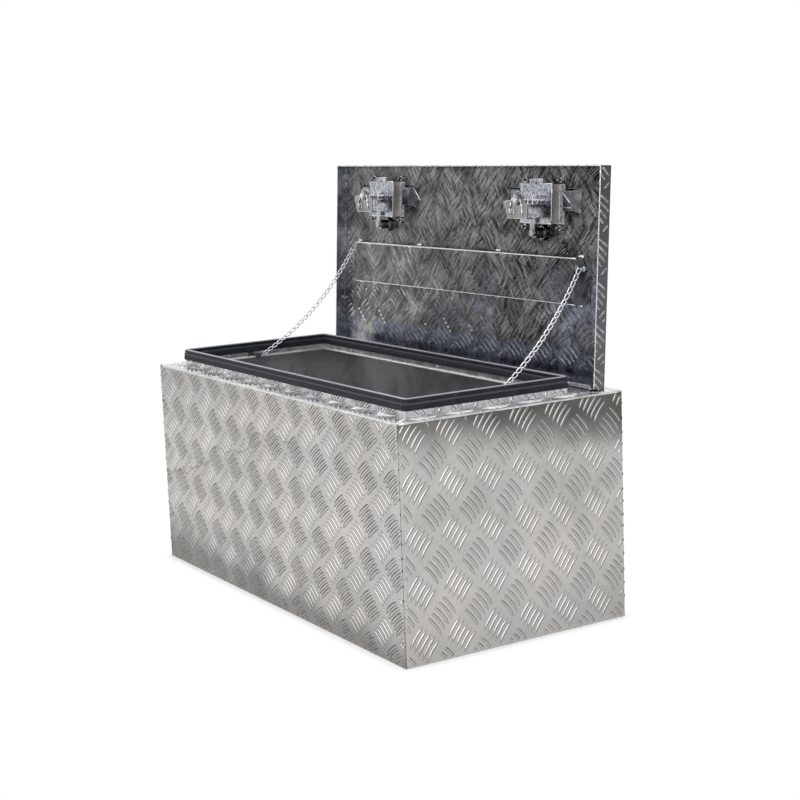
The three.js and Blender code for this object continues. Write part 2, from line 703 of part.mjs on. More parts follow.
// Cam: a bell-shaped plate with a stepped nose and a turned-in lower edge. Here y is away
// from the lid's front edge, so the outline is drawn with the head on its low side.
function latchCam() {
  const camLow = camTop - camThickness;
  const head = [];
  for (let i = 0; i <= roundSides / 2; i += 1) {
    const angle = Math.PI * (1 + i / (roundSides / 2));
    head.push([camHeadRadius * Math.cos(angle), camHeadRadius * Math.sin(angle)]);
  }
  const plate = outline([
    ...head,
    [camRight, camShoulder],
    [camRight, camSkirt],
    [camSkirtLeft, camSkirt],
    [camNoseRoot, -camNoseLowNear],
    [camNoseRoot, -camNoseTopNear],
  ]);
  const nose = outline([
    [camNoseRoot + camThickness, -camNoseTopNear],
    [camNoseRoot + camThickness, -camNoseLowNear],
    [camNoseRoot, -camNoseLowNear],
    [camNoseTip, -camNoseLow],
    [camNoseTip, -camNoseTop],
    [camNoseRoot, -camNoseTopNear],
  ]);
  const riserX = [camNoseRoot, camNoseRoot + camThickness];
  const noseLow = camLow + camNoseStep;
  return joined([
    slab(plate, [camLow, camTop]),
    slab(nose, [noseLow, noseLow + camThickness]),
    block(riserX, [-camNoseTopNear, -camNoseLowNear], [camLow, noseLow + camThickness]),
    block([camSkirtLeft, camRight], [camSkirt - camThickness, camSkirt], [camLow, camTop + camFlange]),
  ]).subtract(post(shaftBore, 0, 0, [camLow - sheet, camTop + sheet], roundSides));
}

function hexNut(radius, bore, x, y, [z0, z1]) {
  return post(radius, x, y, [z0, z1], hexSides).subtract(post(bore, x, y, [z0 - sheet, z1 + sheet], smallSides));
}

// A turned piece from [radius, height] pairs, standing on its axis.
function turned(pairs, sides) {
  const geometry = new THREE.LatheGeometry(pairs.map(([r, z]) => new THREE.Vector2(r, z)), sides);
  geometry.rotateX(Math.PI / 2);
  return solid(geometry);
}

for (const [name, side] of [["left", -1], ["right", 1]]) {
  const latch = new THREE.Group();
  latch.position.set(side * latchX, -latchReach, 0);
  lid.add(latch);
  place(latch, `latch_tray_${name}`, latchTray(), zinc);
  place(latch, `latch_bracket_${name}`, latchBracket(), zinc);
  for (const [spot, x, y] of studPlaces) {
    const seat = panelInner - gap;
    const nut = hexNut(studNutRadius, studNutBore, x, y, [seat - studNutHeight, seat]);
    place(latch, `latch_nut_${spot}_${name}`, nut, zinc);
  }

  const shaft = new THREE.Group();
  shaft.position.set(0, spindleShift, 0);
  latch.add(shaft);
  place(shaft, `latch_spindle_${name}`, post(spindleRadius, 0, 0, [spindleEnd, spindleTop], roundSides), zinc);
  place(shaft, `latch_handle_${name}`, latchHandle(), zinc);
  const coilTop = bracketLow - springSeatGap - springWire;
  const coilLow = washerTop + springSeatGap + springWire;
  const coil = new THREE.ExtrudeGeometry(outline(
    Array.from({ length: springWireSides }, (unused, i) => {
      const angle = (2 * Math.PI * i) / springWireSides;
      return [springWire * Math.cos(angle), springWire * Math.sin(angle)];
    }),
  ), {
    steps: springTurns * springStepsPerTurn,
    bevelEnabled: false,
    extrudePath: new Helix(springRadius, springTurns, coilTop, coilLow),
  });
  place(shaft, `latch_spring_${name}`, solid(coil), zinc);
  const washerSpan = [washerTop - washerThickness, washerTop];
  const washer = post(washerRadius, 0, 0, washerSpan, roundSides)
    .subtract(post(shaftBore, 0, 0, [washerSpan[0] - sheet, washerTop + sheet], roundSides));
  place(shaft, `latch_washer_${name}`, washer, zinc);
  place(shaft, `latch_cam_${name}`, latchCam(), zinc);
  const nutTop = camTop - camThickness - gap;
  const camNut = hexNut(camNutRadius, shaftBore, 0, 0, [nutTop - camNutHeight, nutTop]);
  place(shaft, `latch_cam_nut_${name}`, camNut, zinc);

  const lock = new THREE.Group();
  lock.position.set(0, keyShift, 0);
  latch.add(lock);
  const headLow = plateTop + gap;
  const headTop = headLow + barrelHeadHeight;
  const barrelEnd = panelInner - barrelReach;
  const barrel = post(barrelRadius, 0, 0, [barrelEnd, headLow + gap], roundSides)
    .add(post(barrelHeadRadius, 0, 0, [headLow, headTop], roundSides))
    .subtract(post(barrelBore, 0, 0, [barrelEnd - sheet, headTop + sheet], roundSides));
  place(lock, `key_barrel_${name}`, barrel, darkSteel);
  const plugTop = headTop - plugTopInset;
  const neckTop = barrelEnd - gap;
  const neckLow = keyCamTop - keyCamThickness - gap;
  const plug = turned([[0, plugEnd], [plugRadius, plugEnd], [plugRadius, neckLow], [plugNeckRadius, neckLow],
    [plugNeckRadius, neckTop], [plugRadius, neckTop], [plugRadius, plugTop], [0, plugTop]], roundSides)
    .subtract(block([-keySlotWidth / 2, keySlotWidth / 2], [-keySlotLength / 2, keySlotLength / 2],
      [plugTop - keySlotDepth, plugTop + sheet]));
  place(lock, `key_plug_${name}`, plug, zinc);
  const seat = panelInner - gap;
  const keyNut = hexNut(keyNutRadius, keyNutBore, 0, 0, [seat - keyNutHeight, seat]);
  place(lock, `key_nut_${name}`, keyNut, darkSteel);
  const keyCamSpan = [keyCamTop - keyCamThickness, keyCamTop];
  const keyCam = block([-keyCamHalfWidth, keyCamHalfWidth], [-keyCamReach, 0], keyCamSpan)
    .add(post(keyCamHalfWidth, 0, 0, keyCamSpan, roundSides))
    .subtract(post(plugNeckRadius + gap, 0, 0, [keyCamSpan[0] - sheet, keyCamTop + sheet], roundSides));
  place(lock, `key_cam_${name}`, keyCam, zinc);
}

export default toolBox;
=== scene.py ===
import functools
import math
import random
from collections import namedtuple

import bpy
import bmesh
import numpy as np
from mathutils import Matrix, Vector, noise

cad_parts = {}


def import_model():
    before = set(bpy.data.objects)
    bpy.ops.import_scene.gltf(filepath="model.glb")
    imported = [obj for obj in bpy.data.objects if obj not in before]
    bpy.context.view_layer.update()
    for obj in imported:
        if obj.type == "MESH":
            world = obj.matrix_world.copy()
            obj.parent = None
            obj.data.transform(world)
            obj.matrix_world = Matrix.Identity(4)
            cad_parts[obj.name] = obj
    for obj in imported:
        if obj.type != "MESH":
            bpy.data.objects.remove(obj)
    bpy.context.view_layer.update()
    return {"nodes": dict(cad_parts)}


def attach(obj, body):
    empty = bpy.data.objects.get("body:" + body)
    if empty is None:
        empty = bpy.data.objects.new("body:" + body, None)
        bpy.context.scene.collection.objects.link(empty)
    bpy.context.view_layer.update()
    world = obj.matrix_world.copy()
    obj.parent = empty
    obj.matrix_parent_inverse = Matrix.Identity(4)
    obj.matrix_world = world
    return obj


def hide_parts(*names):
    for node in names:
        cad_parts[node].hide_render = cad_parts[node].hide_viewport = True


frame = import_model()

MM = 0.001

# The tool box in millimetres, as in the solids. Its lid leans back a little past upright.
BOX_X, BOX_Y, BOX_Z = 457.0, 228.5, 403.0
LIP_X, LIP_FRONT, LIP_BACK = 419.0, -186.5, 138.6
LEDGE_FRONT = LIP_FRONT - 1 + BOX_Y
LEDGE_END = BOX_X - LIP_X - 1
HINGE_Y, HINGE_Z = 177.0, 411.2
LEAN = math.radians(3.5)
LID_X, LID_FRONT, LID_OUTER, LID_INNER = 442.7, 377.6, 25.5, 23.5
CHANNEL_X, CHANNEL_LOW, CHANNEL_HIGH, CHANNEL_FACE = 376.0, 136.0, 218.0, 7.5
LATCH_X, LATCH_S = 263.0, 310.0

X = np.array([1.0, 0.0, 0.0])
Y = np.array([0.0, 1.0, 0.0])
Z = np.array([0.0, 0.0, 1.0])
LID_UP = np.array([0.0, math.sin(LEAN), math.cos(LEAN)])
LID_OUT = np.array([0.0, math.cos(LEAN), -math.sin(LEAN)])


def on_lid(x, s, q):
    """A point of the lid: x along it, s away from the hinge, q out through its panel."""
    return np.array([x, HINGE_Y, HINGE_Z]) + s * LID_UP + q * LID_OUT


# Materials

class Nodes:
    """A node tree in the making. A number, a colour or another node's output can feed a socket."""

    def __init__(self, owner, coordinate="Object"):
        owner.use_nodes = True
        self.tree = owner.node_tree
        self.coord = self.node("ShaderNodeTexCoord").outputs[coordinate]

    def node(self, kind, **settings):
        made = self.tree.nodes.new(kind)
        for key, value in settings.items():
            setattr(made, key, value)
        return made

    def feed(self, socket, value):
        if isinstance(value, (int, float)):
            socket.default_value = value
        elif isinstance(value, tuple):
            is_colour = len(socket.default_value) == 4
            socket.default_value = (*value, 1.0) if is_colour else value
        else:
            self.tree.links.new(value, socket)

    def maths(self, operation, *values):
        made = self.node("ShaderNodeMath", operation=operation)
        for socket, value in zip(made.inputs, values):
            self.feed(socket, value)
        return made.outputs[0]

    def product(self, *values):
        return functools.reduce(lambda a, b: self.maths("MULTIPLY", a, b), values)

    def total(self, *values):
        return functools.reduce(lambda a, b: self.maths("ADD", a, b), values)

    def noise(self, scale, detail=3.0, rough=0.55, stretch=None, distort=0.0, turn=0.0):
        """Noise from 0 to 1, squeezed along the axes by stretch after a turn about y."""
        source = self.coord
        if turn:
            turned = self.node("ShaderNodeVectorRotate", rotation_type="Y_AXIS")
            self.feed(turned.inputs["Vector"], source)
            self.feed(turned.inputs["Angle"], turn)
            source = turned.outputs[0]
        if stretch:
            mapping = self.node("ShaderNodeMapping")
            self.feed(mapping.inputs["Vector"], source)
            self.feed(mapping.inputs["Scale"], stretch)
            source = mapping.outputs[0]
        made = self.node("ShaderNodeTexNoise")
        for slot, value in (("Vector", source), ("Scale", scale), ("Detail", detail),
                            ("Roughness", rough), ("Distortion", distort)):
            self.feed(made.inputs[slot], value)
        return made.outputs["Fac"]

    def range(self, value, low, high, out_low=0.0, out_high=1.0):
        """Goes smoothly from out_low where the value is low to out_high where it is high."""
        made = self.node("ShaderNodeMapRange", interpolation_type="SMOOTHSTEP")
        for slot, number in zip(("Value", "From Min", "From Max", "To Min", "To Max"),
                                (value, low, high, out_low, out_high)):
            self.feed(made.inputs[slot], number)
        return made.outputs[0]

    def axes(self):
        """The point's x, y and z in millimetres."""
        made = self.node("ShaderNodeSeparateXYZ")
        self.feed(made.inputs[0], self.coord)
        return [self.product(axis, 1 / MM) for axis in made.outputs]

    def mix(self, factor, a, b, how="MIX", kind="RGBA"):
        made = self.node("ShaderNodeMix", data_type=kind, blend_type=how)
        for slot, value in (("Factor", factor), ("A", a), ("B", b)):
            self.feed(made.inputs[slot], value)
        return made.outputs["Result"]

    def clouds(self, dark, light, low, high, *noise_values, **noise_settings):
        """Two colours in clouds: dark under the noise's low, light over its high."""
        made = self.noise(*noise_values, **noise_settings)
        return self.mix(self.range(made, low, high), dark, light)

    def grey(self, value):
        made = self.node("ShaderNodeCombineColor")
        for slot in ("Red", "Green", "Blue"):
            self.feed(made.inputs[slot], value)
        return made.outputs[0]

    def times(self, colour, value):
        return self.mix(1.0, colour, self.grey(value), "MULTIPLY")

    def darker(self, colour, mask, amount):
        return self.times(colour, self.maths("SUBTRACT", 1.0, self.product(mask, amount)))

    def dot(self, vector, other):
        made = self.node("ShaderNodeVectorMath", operation="DOT_PRODUCT")
        self.feed(made.inputs[0], vector)
        self.feed(made.inputs[1], other)
        return made.outputs["Value"]

    def edges(self, radius):
        """1 within a radius of a sharp edge, 0 on the flats."""
        bevel = self.node("ShaderNodeBevel", samples=4)
        self.feed(bevel.inputs["Radius"], radius * MM)
        surface = self.node("ShaderNodeNewGeometry")
        return self.range(self.dot(bevel.outputs[0], surface.outputs["Normal"]), 0.99, 0.86)

    def turned_right(self):
        """1 on the faces that look to the right, 0 elsewhere."""
        surface = self.node("ShaderNodeNewGeometry")
        return self.range(self.dot(surface.outputs["Normal"], tuple(X)), 0.6, 0.9)


class Finish(Nodes):
    """A material in the making."""

    def __init__(self, name):
        self.material = bpy.data.materials.new(name)
        super().__init__(self.material)
        self.shader = self.tree.nodes["Principled BSDF"]

    def bump(self, height, strength, distance):
        made = self.node("ShaderNodeBump")
        self.feed(made.inputs["Height"], height)
        self.feed(made.inputs["Strength"], strength)
        self.feed(made.inputs["Distance"], distance * MM)
        self.feed(self.shader.inputs["Normal"], made.outputs[0])

    def done(self, colour, rough, metallic=1.0, specular=0.5):
        for slot, value in (("Base Color", colour), ("Roughness", rough),
                            ("Metallic", metallic), ("Specular IOR Level", specular)):
            self.feed(self.shader.inputs[slot], value)
        return self.material


def water_line(m, x, z):
    """1 on a dried water line that climbs across the left of the front, with a faint stain below."""
    level, slope, waves = 309.0, 0.285, 110.0
    wave = m.product(m.maths("SUBTRACT", m.noise(13.0, rough=0.5), 0.5), waves)
    above = m.maths("SUBTRACT", z, m.total(m.product(x, slope), wave, level))
    line = m.range(m.maths("ABSOLUTE", above), 0.8, 3.6, 1.0, 0.0)
    stain = m.product(m.range(above, 0.0, -0.5), m.range(above, -45.0, 0.0, 0.0, 0.22))
    return m.product(m.maths("MAXIMUM", line, stain), m.range(x, 170.0, 60.0))


def plate_outside(m, x, y, z, end_top_shade):
    """The chest's outer face: cloudy silver, with painted shade along the foot of the front and at the
    top of the right end.
    """
    colour = m.clouds((0.505, 0.491, 0.465), (0.59, 0.581, 0.565), 0.3, 0.7, 3.2, 5.0, 0.6)
    colour = m.times(colour, m.range(m.noise(11.0, 4.0), 0.34, 0.66, 0.93, 1.06))
    tint = m.clouds((0.99, 1.0, 1.005), (1.0, 0.984, 0.964), 0.4, 0.62, 5.5, 4.0, 0.6)
    colour = m.mix(1.0, colour, tint, "MULTIPLY")
    front = m.range(y, 2.3 - BOX_Y, 1.3 - BOX_Y)
    end = m.range(x, BOX_X - 1.5, BOX_X - 0.5)
    wander = m.range(m.noise(7.0), 0.3, 0.7, -30.0, 30.0)
    # Painted shade: the front darkens towards its foot, for the shaded floor near the box that it mirrors
    foot = m.range(m.total(z, wander), 5.0, 85.0, 1.0, 0.0)
    colour = m.darker(colour, m.product(foot, front), 0.42)
    # Painted shade at the top of the right end, for a dark part of the surroundings that it mirrors
    slant = m.total(z, m.product(y, 0.11), m.product(wander, 0.4))
    top = m.range(slant, BOX_Z - 88.0, BOX_Z - 8.0)
    colour = m.darker(colour, m.product(top, end), end_top_shade)
    return m.darker(colour, m.product(water_line(m, x, z), front), 0.4)


def plate_material(name, lift=1.0, rough=0.3, end_top_shade=0.76):
    """Tread plate of the chest: bright outside, a ledge lightened by painted highlight, rougher grey
    inside.
    """
    m = Finish(name)
    x, y, z = m.axes()
    inside = m.clouds((0.42, 0.425, 0.435), (0.78, 0.78, 0.785), 0.3, 0.72, 9.0, 6.0, 0.68, distort=0.8)
    inside = m.times(inside, m.range(x, -100.0, -400.0, 0.98, 1.06))
    # Painted highlight: the up-facing ledge gets a paler colour for the sky it mirrors
    ledge = m.clouds((0.60, 0.605, 0.62), (0.90, 0.90, 0.905), 0.35, 0.65, 24.0, 4.0, 0.6, distort=1.5)
    within = m.product(m.range(m.maths("ABSOLUTE", x), BOX_X - 0.8, BOX_X - 1.2),
                       m.range(m.maths("ABSOLUTE", y), BOX_Y - 0.8, BOX_Y - 1.2))
    up = m.range(z, BOX_Z - 1.5, BOX_Z - 0.5)
    below = m.product(within, m.maths("SUBTRACT", 1.0, up))
    colour = m.mix(below, plate_outside(m, x, y, z, end_top_shade), inside)
    colour = m.times(m.mix(up, colour, ledge), lift)
    grain = m.noise(240.0, 2.0, 0.5, (1.0, 1.0, 9.0))
    fine = m.range(grain, 0.2, 0.8, -0.04, 0.04)
    wear = m.range(m.noise(45.0, 4.0, 0.6), 0.35, 0.7, -0.05, 0.07)
    m.bump(grain, 0.12, 0.2)
    return m.done(colour, m.total(rough, wear, fine, m.product(within, 0.08)))


def painted_dent_shading(m, colour, x):
    """The tread shows through as slanted dents that lean one way or the other. Their light and shade are
    painted into the colour as lighter and darker strokes.
    """
    squeeze, lean = (1.0, 1.0, 0.16), math.radians(39)
    rising = m.noise(190.0, 3.0, 0.6, squeeze, 0.3, lean)
    falling = m.noise(190.0, 3.0, 0.6, squeeze, 0.3, -lean)
    which = m.range(m.noise(17.0, 2.0), 0.45, 0.55)
    dents = m.range(m.mix(which, rising, falling, kind="FLOAT"), 0.39, 0.61)
    depth = m.range(x, -350.0, 200.0, 0.45, 0.85)
    colour = m.times(colour, m.range(m.noise(15.0, 1.0, 0.5, distort=0.6), 0.36, 0.64, 0.58, 1.26))
    return m.times(colour, m.total(1.0, m.product(m.maths("SUBTRACT", dents, 0.5), depth, 2.0)))


def mirrored_sky(m, colour, x, z, deep):
    """Blue in the lower right of the lid and along its foot. Deep under 1 darkens the right."""
    patches = m.range(m.noise(6.0, 4.0, 0.6, distort=1.0), 0.42, 0.62)
    sky = m.product(patches, m.range(x, -150.0, 200.0), m.range(z, 640.0, 560.0))
    sky = m.maths("MAXIMUM", sky, m.range(z, 476.0, 455.0))
    blue = m.clouds((0.09, 0.105, 0.16), (0.40, 0.44, 0.54), 0.35, 0.65, 70.0, 5.0, 0.65, distort=1.0)
    colour = m.mix(m.product(sky, 0.7), colour, m.times(blue, deep))
    return m.times(colour, m.range(x, 0.0, 300.0, 1.0, 0.5 + 0.5 * deep))


def mirrored_cream(m, colour, x, z):
    """A ragged pale patch low on the left of the lid."""
    ragged = m.range(m.noise(38.0, 4.0, 0.65), 0.3, 0.7, -30.0, 30.0)
    away = m.maths("ABSOLUTE", m.total(x, 358.0))
    patch = m.range(m.total(away, ragged), 45.0, 15.0)
    patch = m.product(patch, m.range(m.total(z, m.product(ragged, 0.4)), 478.0, 458.0))
    return m.mix(m.product(patch, 0.8), colour, (0.56, 0.53, 0.48))


def lid_outside(m, colour, x, y, z):
    """The bright tread side of the lid, its end flanges darkened by painted shade, and the left flange's
    inner face.
    """
    lean_back = m.product(m.maths("SUBTRACT", z, HINGE_Z), math.tan(LEAN))
    depth = m.maths("SUBTRACT", m.maths("SUBTRACT", y, HINGE_Y), lean_back)
    sides = m.range(m.maths("ABSOLUTE", x), LID_X - 0.7, LID_X - 0.2)
    outer = m.maths("MAXIMUM", m.range(depth, LID_OUTER - 0.6, LID_OUTER - 0.2), sides)
    bright = m.clouds((0.44, 0.44, 0.44), (0.58, 0.575, 0.565), 0.3, 0.7, 3.0, 4.0)
    # Painted shade: the end flanges are the same plate, painted dark
    bright = m.mix(sides, bright, (0.13, 0.132, 0.138))
    left = m.clouds((0.24, 0.25, 0.30), (0.52, 0.54, 0.62), 0.35, 0.65, 40.0, 4.0, 0.65)
    colour = m.mix(m.range(x, 2.2 - LID_X, 3.2 - LID_X, 0.9, 0.0), colour, left)
    return m.mix(outer, colour, bright)


def lid_material(name, dark, light, rough, lift=1.0, glint_spots=False, deep=1.0, ends=None):
    """Inner side of the lid: the plate's smooth face, darkened by painted shade, clouded, brighter at
    its left. Faces that look to the right can get a painted highlight in a colour of their own, ends."""
    m = Finish(name)
    x, y, z = m.axes()
    colour = m.clouds(dark, light, 0.32, 0.68, 4.0, 6.0, 0.62, distort=1.2)
    colour = painted_dent_shading(m, colour, x)
    wander = m.product(m.noise(5.0, 2.0), 300.0)
    colour = m.times(colour, m.range(m.total(x, wander), -360.0, 250.0, 1.75, 0.92))
    colour = mirrored_cream(m, mirrored_sky(m, colour, x, z, deep), x, z)
    if glint_spots:
        # Painted glints of the bars in a band at the lower left
        band = m.product(m.range(z, 545.0, 525.0), m.range(z, 455.0, 475.0), m.range(x, -20.0, -200.0))
        glints = m.range(m.noise(55.0), 0.46, 0.64)
        colour = m.mix(m.product(band, glints), colour, (0.6, 0.6, 0.6))
    colour = m.times(lid_outside(m, colour, x, y, z), lift)
    # Painted highlight: faces that look to the right take the ends colour
    if ends:
        colour = m.mix(m.turned_right(), colour, ends)
    m.bump(m.noise(160.0, 3.0, 0.6, (1.0, 1.0, 0.12)), 0.08, 0.2)
    wear = m.range(m.noise(18.0, 5.0, 0.6), 0.3, 0.7, -0.05, 0.09)
    return m.done(colour, m.total(rough, wear))


def metal(name, dark, light, rough, scale=30.0, bump=0.1, edge=0.0, sides=None):
    """Mottled metal, with a painted highlight within edge of its sharp edges. Faces that look to the
    right can get a painted reflection in a colour of their own, sides."""
    m = Finish(name)
    colour = m.clouds(dark, light, 0.3, 0.7, scale, 5.0, 0.6, distort=0.4)
    # Painted reflection: faces that look to the right take the sides colour
    if sides:
        turned = m.turned_right()
        colour = m.mix(turned, colour, sides)
        rough = m.total(rough, m.product(turned, 0.3))
    # Painted highlight along the sharp edges
    if edge:
        colour = m.mix(m.product(m.edges(edge), 0.9), colour, (0.95, 0.95, 0.96))
    m.bump(m.noise(scale * 14.0, 3.0, 0.6), bump, 0.1)
    wear = m.range(m.noise(scale * 2.5, 4.0), 0.3, 0.7, -0.06, 0.06)
    return m.done(colour, m.total(rough, wear))


def rubber_material():
    """Rubber of the trim: a painted highlight on its crown, paler between its ribs."""
    m = Finish("seal_rubber")
    z = m.axes()[2]
    spots = m.noise(60.0, 5.0, 0.6)
    colour = m.mix(m.range(spots, 0.3, 0.7), (0.011, 0.012, 0.016), (0.024, 0.026, 0.034))
    crown_sheen = m.range(m.noise(9.0, 5.0, 0.6), 0.25, 0.6, 0.6, 1.0)
    # Painted highlight: the crown that faces up is lighter, in patches
    crown = m.range(z, 432.2, 433.8)
    colour = m.mix(m.product(crown, crown_sheen), colour, (0.40, 0.41, 0.44))
    ribs = m.product(m.range(z, 422.2, 423.2), m.range(z, 426.4, 425.6))
    colour = m.mix(m.product(ribs, 0.4), colour, (0.12, 0.125, 0.145))
    m.bump(m.noise(700.0, 2.0), 0.15, 0.1)
    return m.done(colour, m.range(spots, 0.2, 0.8, 0.38, 0.56), metallic=0.0, specular=0.18)


PLATE = plate_material("tread_plate")
PLATE_BARS = plate_material("tread_bars", 1.04, 0.16, 0.25)
# The lid's inner face and its channel get far darker colours than the same plate inside the chest:
# painted shade
LID = lid_material("lid_plate", (0.082, 0.082, 0.085), (0.178, 0.177, 0.180), 0.24)
LID_MARKS = lid_material("lid_marks", (0.10, 0.099, 0.098), (0.22, 0.217, 0.214), 0.2, 1.1, glint_spots=True)
STIFFENER = lid_material("channel_plate", (0.130, 0.131, 0.135), (0.225, 0.225, 0.227), 0.3,
                         deep=0.5, ends=(0.62, 0.62, 0.64))
ZINC = metal("zinc_steel", (0.24, 0.245, 0.255), (0.55, 0.555, 0.57), 0.2, edge=1.6)
BRIGHT = metal("bright_zinc", (0.62, 0.63, 0.65), (0.90, 0.905, 0.92), 0.12, 60.0, 0.15, edge=0.8)
BRACKET = metal("bracket_zinc", (0.17, 0.18, 0.20), (0.66, 0.68, 0.72), 0.2, 170.0,
                edge=2.4, sides=(0.50, 0.475, 0.45))
CAM = metal("cam_zinc", (0.20, 0.202, 0.21), (0.40, 0.40, 0.405), 0.22, 24.0, edge=2.8)
TRAY = metal("tray_zinc", (0.13, 0.136, 0.15), (0.27, 0.275, 0.29), 0.22, edge=1.6)
# The bars on the lid's flanges are darker than the other bars: painted shade
FLANGE_BARS = metal("flange_bars", (0.20, 0.20, 0.205), (0.62, 0.62, 0.63), 0.22, 90.0, 0.2)
# Near-white rough metal for painted glints and a painted highlight
GLINT_METAL = metal("painted_glints", (0.80, 0.80, 0.80), (0.97, 0.97, 0.97), 0.7, 120.0)
# Dark strips beside the bars: partly dirt round each bar, partly painted shade
BAR_DIRT_AND_SHADE = metal("bar_dirt_and_shade", (0.12, 0.117, 0.112), (0.32, 0.314, 0.30), 0.4, 60.0, 0.2)
# Near-white metal for painted highlights on edges
EDGE_HIGHLIGHT = metal("painted_edge_highlight", (0.70, 0.70, 0.71), (0.95, 0.95, 0.95), 0.3, 120.0, 0.4)
CHAIN = metal("chain_zinc", (0.66, 0.68, 0.72), (0.88, 0.89, 0.91), 0.2, 90.0)
HINGE = metal("hinge_metal", (0.58, 0.58, 0.60), (0.80, 0.80, 0.81), 0.27)
WELD = metal("weld_metal", (0.66, 0.66, 0.66), (0.90, 0.90, 0.89), 0.3, 200.0, 0.3)
MARK = metal("seam_marks", (0.03, 0.03, 0.033), (0.09, 0.09, 0.095), 0.5, 200.0, 0.3)
LOCK = metal("lock_black", (0.09, 0.09, 0.093), (0.34, 0.34, 0.345), 0.24, 110.0, edge=1.8)
RUBBER = rubber_material()


# Mesh helpers

def mesh_object(name, points, faces, material):
    """A smooth mesh from points in millimetres."""
    mesh = bpy.data.meshes.new(name)
    mesh.from_pydata([tuple(float(c) * MM for c in p) for p in points], [], faces)
    mesh.polygons.foreach_set("use_smooth", [True] * len(mesh.polygons))
    mesh.update()
    mesh.materials.append(material)
    made = bpy.data.objects.new(name, mesh)
    bpy.context.scene.collection.objects.link(made)
    return made


def piece(name, points, faces, material, body):
    """A mesh of the tool box, riding on a body."""
    made = mesh_object(name, points, faces, material)
    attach(made, body)
    return made


def closed(items):
    """Each item of a ring with the one after it."""
    return zip(items, items[1:] + items[:1])


def inside(point, polygon):
    """True where a point is inside a convex polygon listed counter-clockwise."""
    for (x0, y0), (x1, y1) in closed(polygon):
        if (x1 - x0) * (point[1] - y0) - (y1 - y0) * (point[0] - x0) < 0:
            return False
    return True


def rect(a0, a1, b0, b1):
    return [(a0, b0), (a1, b0), (a1, b1), (a0, b1)]


def ring_faces(rings, sides, first=0):
    """Faces of a closed band of rings, whose points start at first."""
    faces = []
    for i in range(rings):
        near, far = first + i * sides, first + (i + 1) % rings * sides
        for j in range(sides):
            after = (j + 1) % sides
            faces.append((near + j, far + j, far + after, near + after))
    return faces


# Tread: groups of five curved bars that lean two ways in turn

BAR_HALF, BAR_ANGLE, BAR_STEP, BAR_SAG = 22.4, math.radians(37.5), 7.5, 2.4
BAR_PARTS, BAR_SHORTEST, BAR_TIP = 6, 5, 0.2
BAR_SAMPLES = np.linspace(-1, 1, 25)
# A bar across, in shares of its half width and its height: a dark strip, the ridge and a dark strip. The
# dark strips are partly dirt round the bar and partly painted shade
BAR_SECTION = ((-1.36, 0.02), (-0.9, 0.06), (-1, -0.12), (-0.72, 0.5), (-0.3, 0.95),
               (0.3, 0.95), (0.72, 0.5), (1, -0.12), (0.9, 0.06), (1.6, 0.02))
BAR_STRIPS, BAR_DARK_STRIPS, BAR_RIDGE = (0, 2, 3, 4, 5, 6, 8), (0, 8), range(2, 8)
DARK_STRIP_EDGE, DARK_STRIP_WIDER, DARK_STRIP_LIFT = 1.3, 1.35, 0.1

# A lattice has an origin, the steps from group to group along and up, and a turn. A facet has an
# outline in the flat sheet, a pivot in the sheet, and the pivot's place and ways a and b in space
Lattice = namedtuple("Lattice", "origin along up turn")
Facet = namedtuple("Facet", "outline pivot place a b normal")


def lattice_cells(lattice, outline):
    """The middle and the lean, 1 or -1, of each group of bars on or near an outline."""
    basis = np.array([lattice.along, lattice.up]).T
    corners = np.array([np.linalg.solve(basis, np.array(p) - lattice.origin) for p in outline])
    low = np.floor(corners.min(0)) - 1
    high = np.ceil(corners.max(0)) + 1
    for i in range(int(2 * low[0]), int(2 * high[0]) + 1):
        for j in range(int(2 * low[1]), int(2 * high[1]) + 1):
            if i % 2 == j % 2:
                yield lattice.origin + basis @ np.array([i / 2, j / 2]), 1 if i % 2 == 0 else -1


def bar_ways(lean, turn, bulge):
    """Ways in the sheet: along a bar, from bar to bar, and the way its middle is pushed."""
    cos, sin = math.cos(turn), math.sin(turn)
    rotate = np.array([[cos, -sin], [sin, cos]])
    along = rotate @ np.array([math.cos(BAR_ANGLE), -lean * math.sin(BAR_ANGLE)])
    stack = rotate @ np.array([BAR_STEP, lean * BAR_STEP])
    side = rotate @ np.array([lean * math.sin(BAR_ANGLE), math.cos(BAR_ANGLE)])
    return along, stack, side * (lean if bulge < 0 else 1)


def bar_spot(bar, t):
    """A point of a bar's middle line, at t from -1 to 1."""
    middle, along, side = bar
    return middle + t * BAR_HALF * along + BAR_SAG * (0.5 - t * t) * side


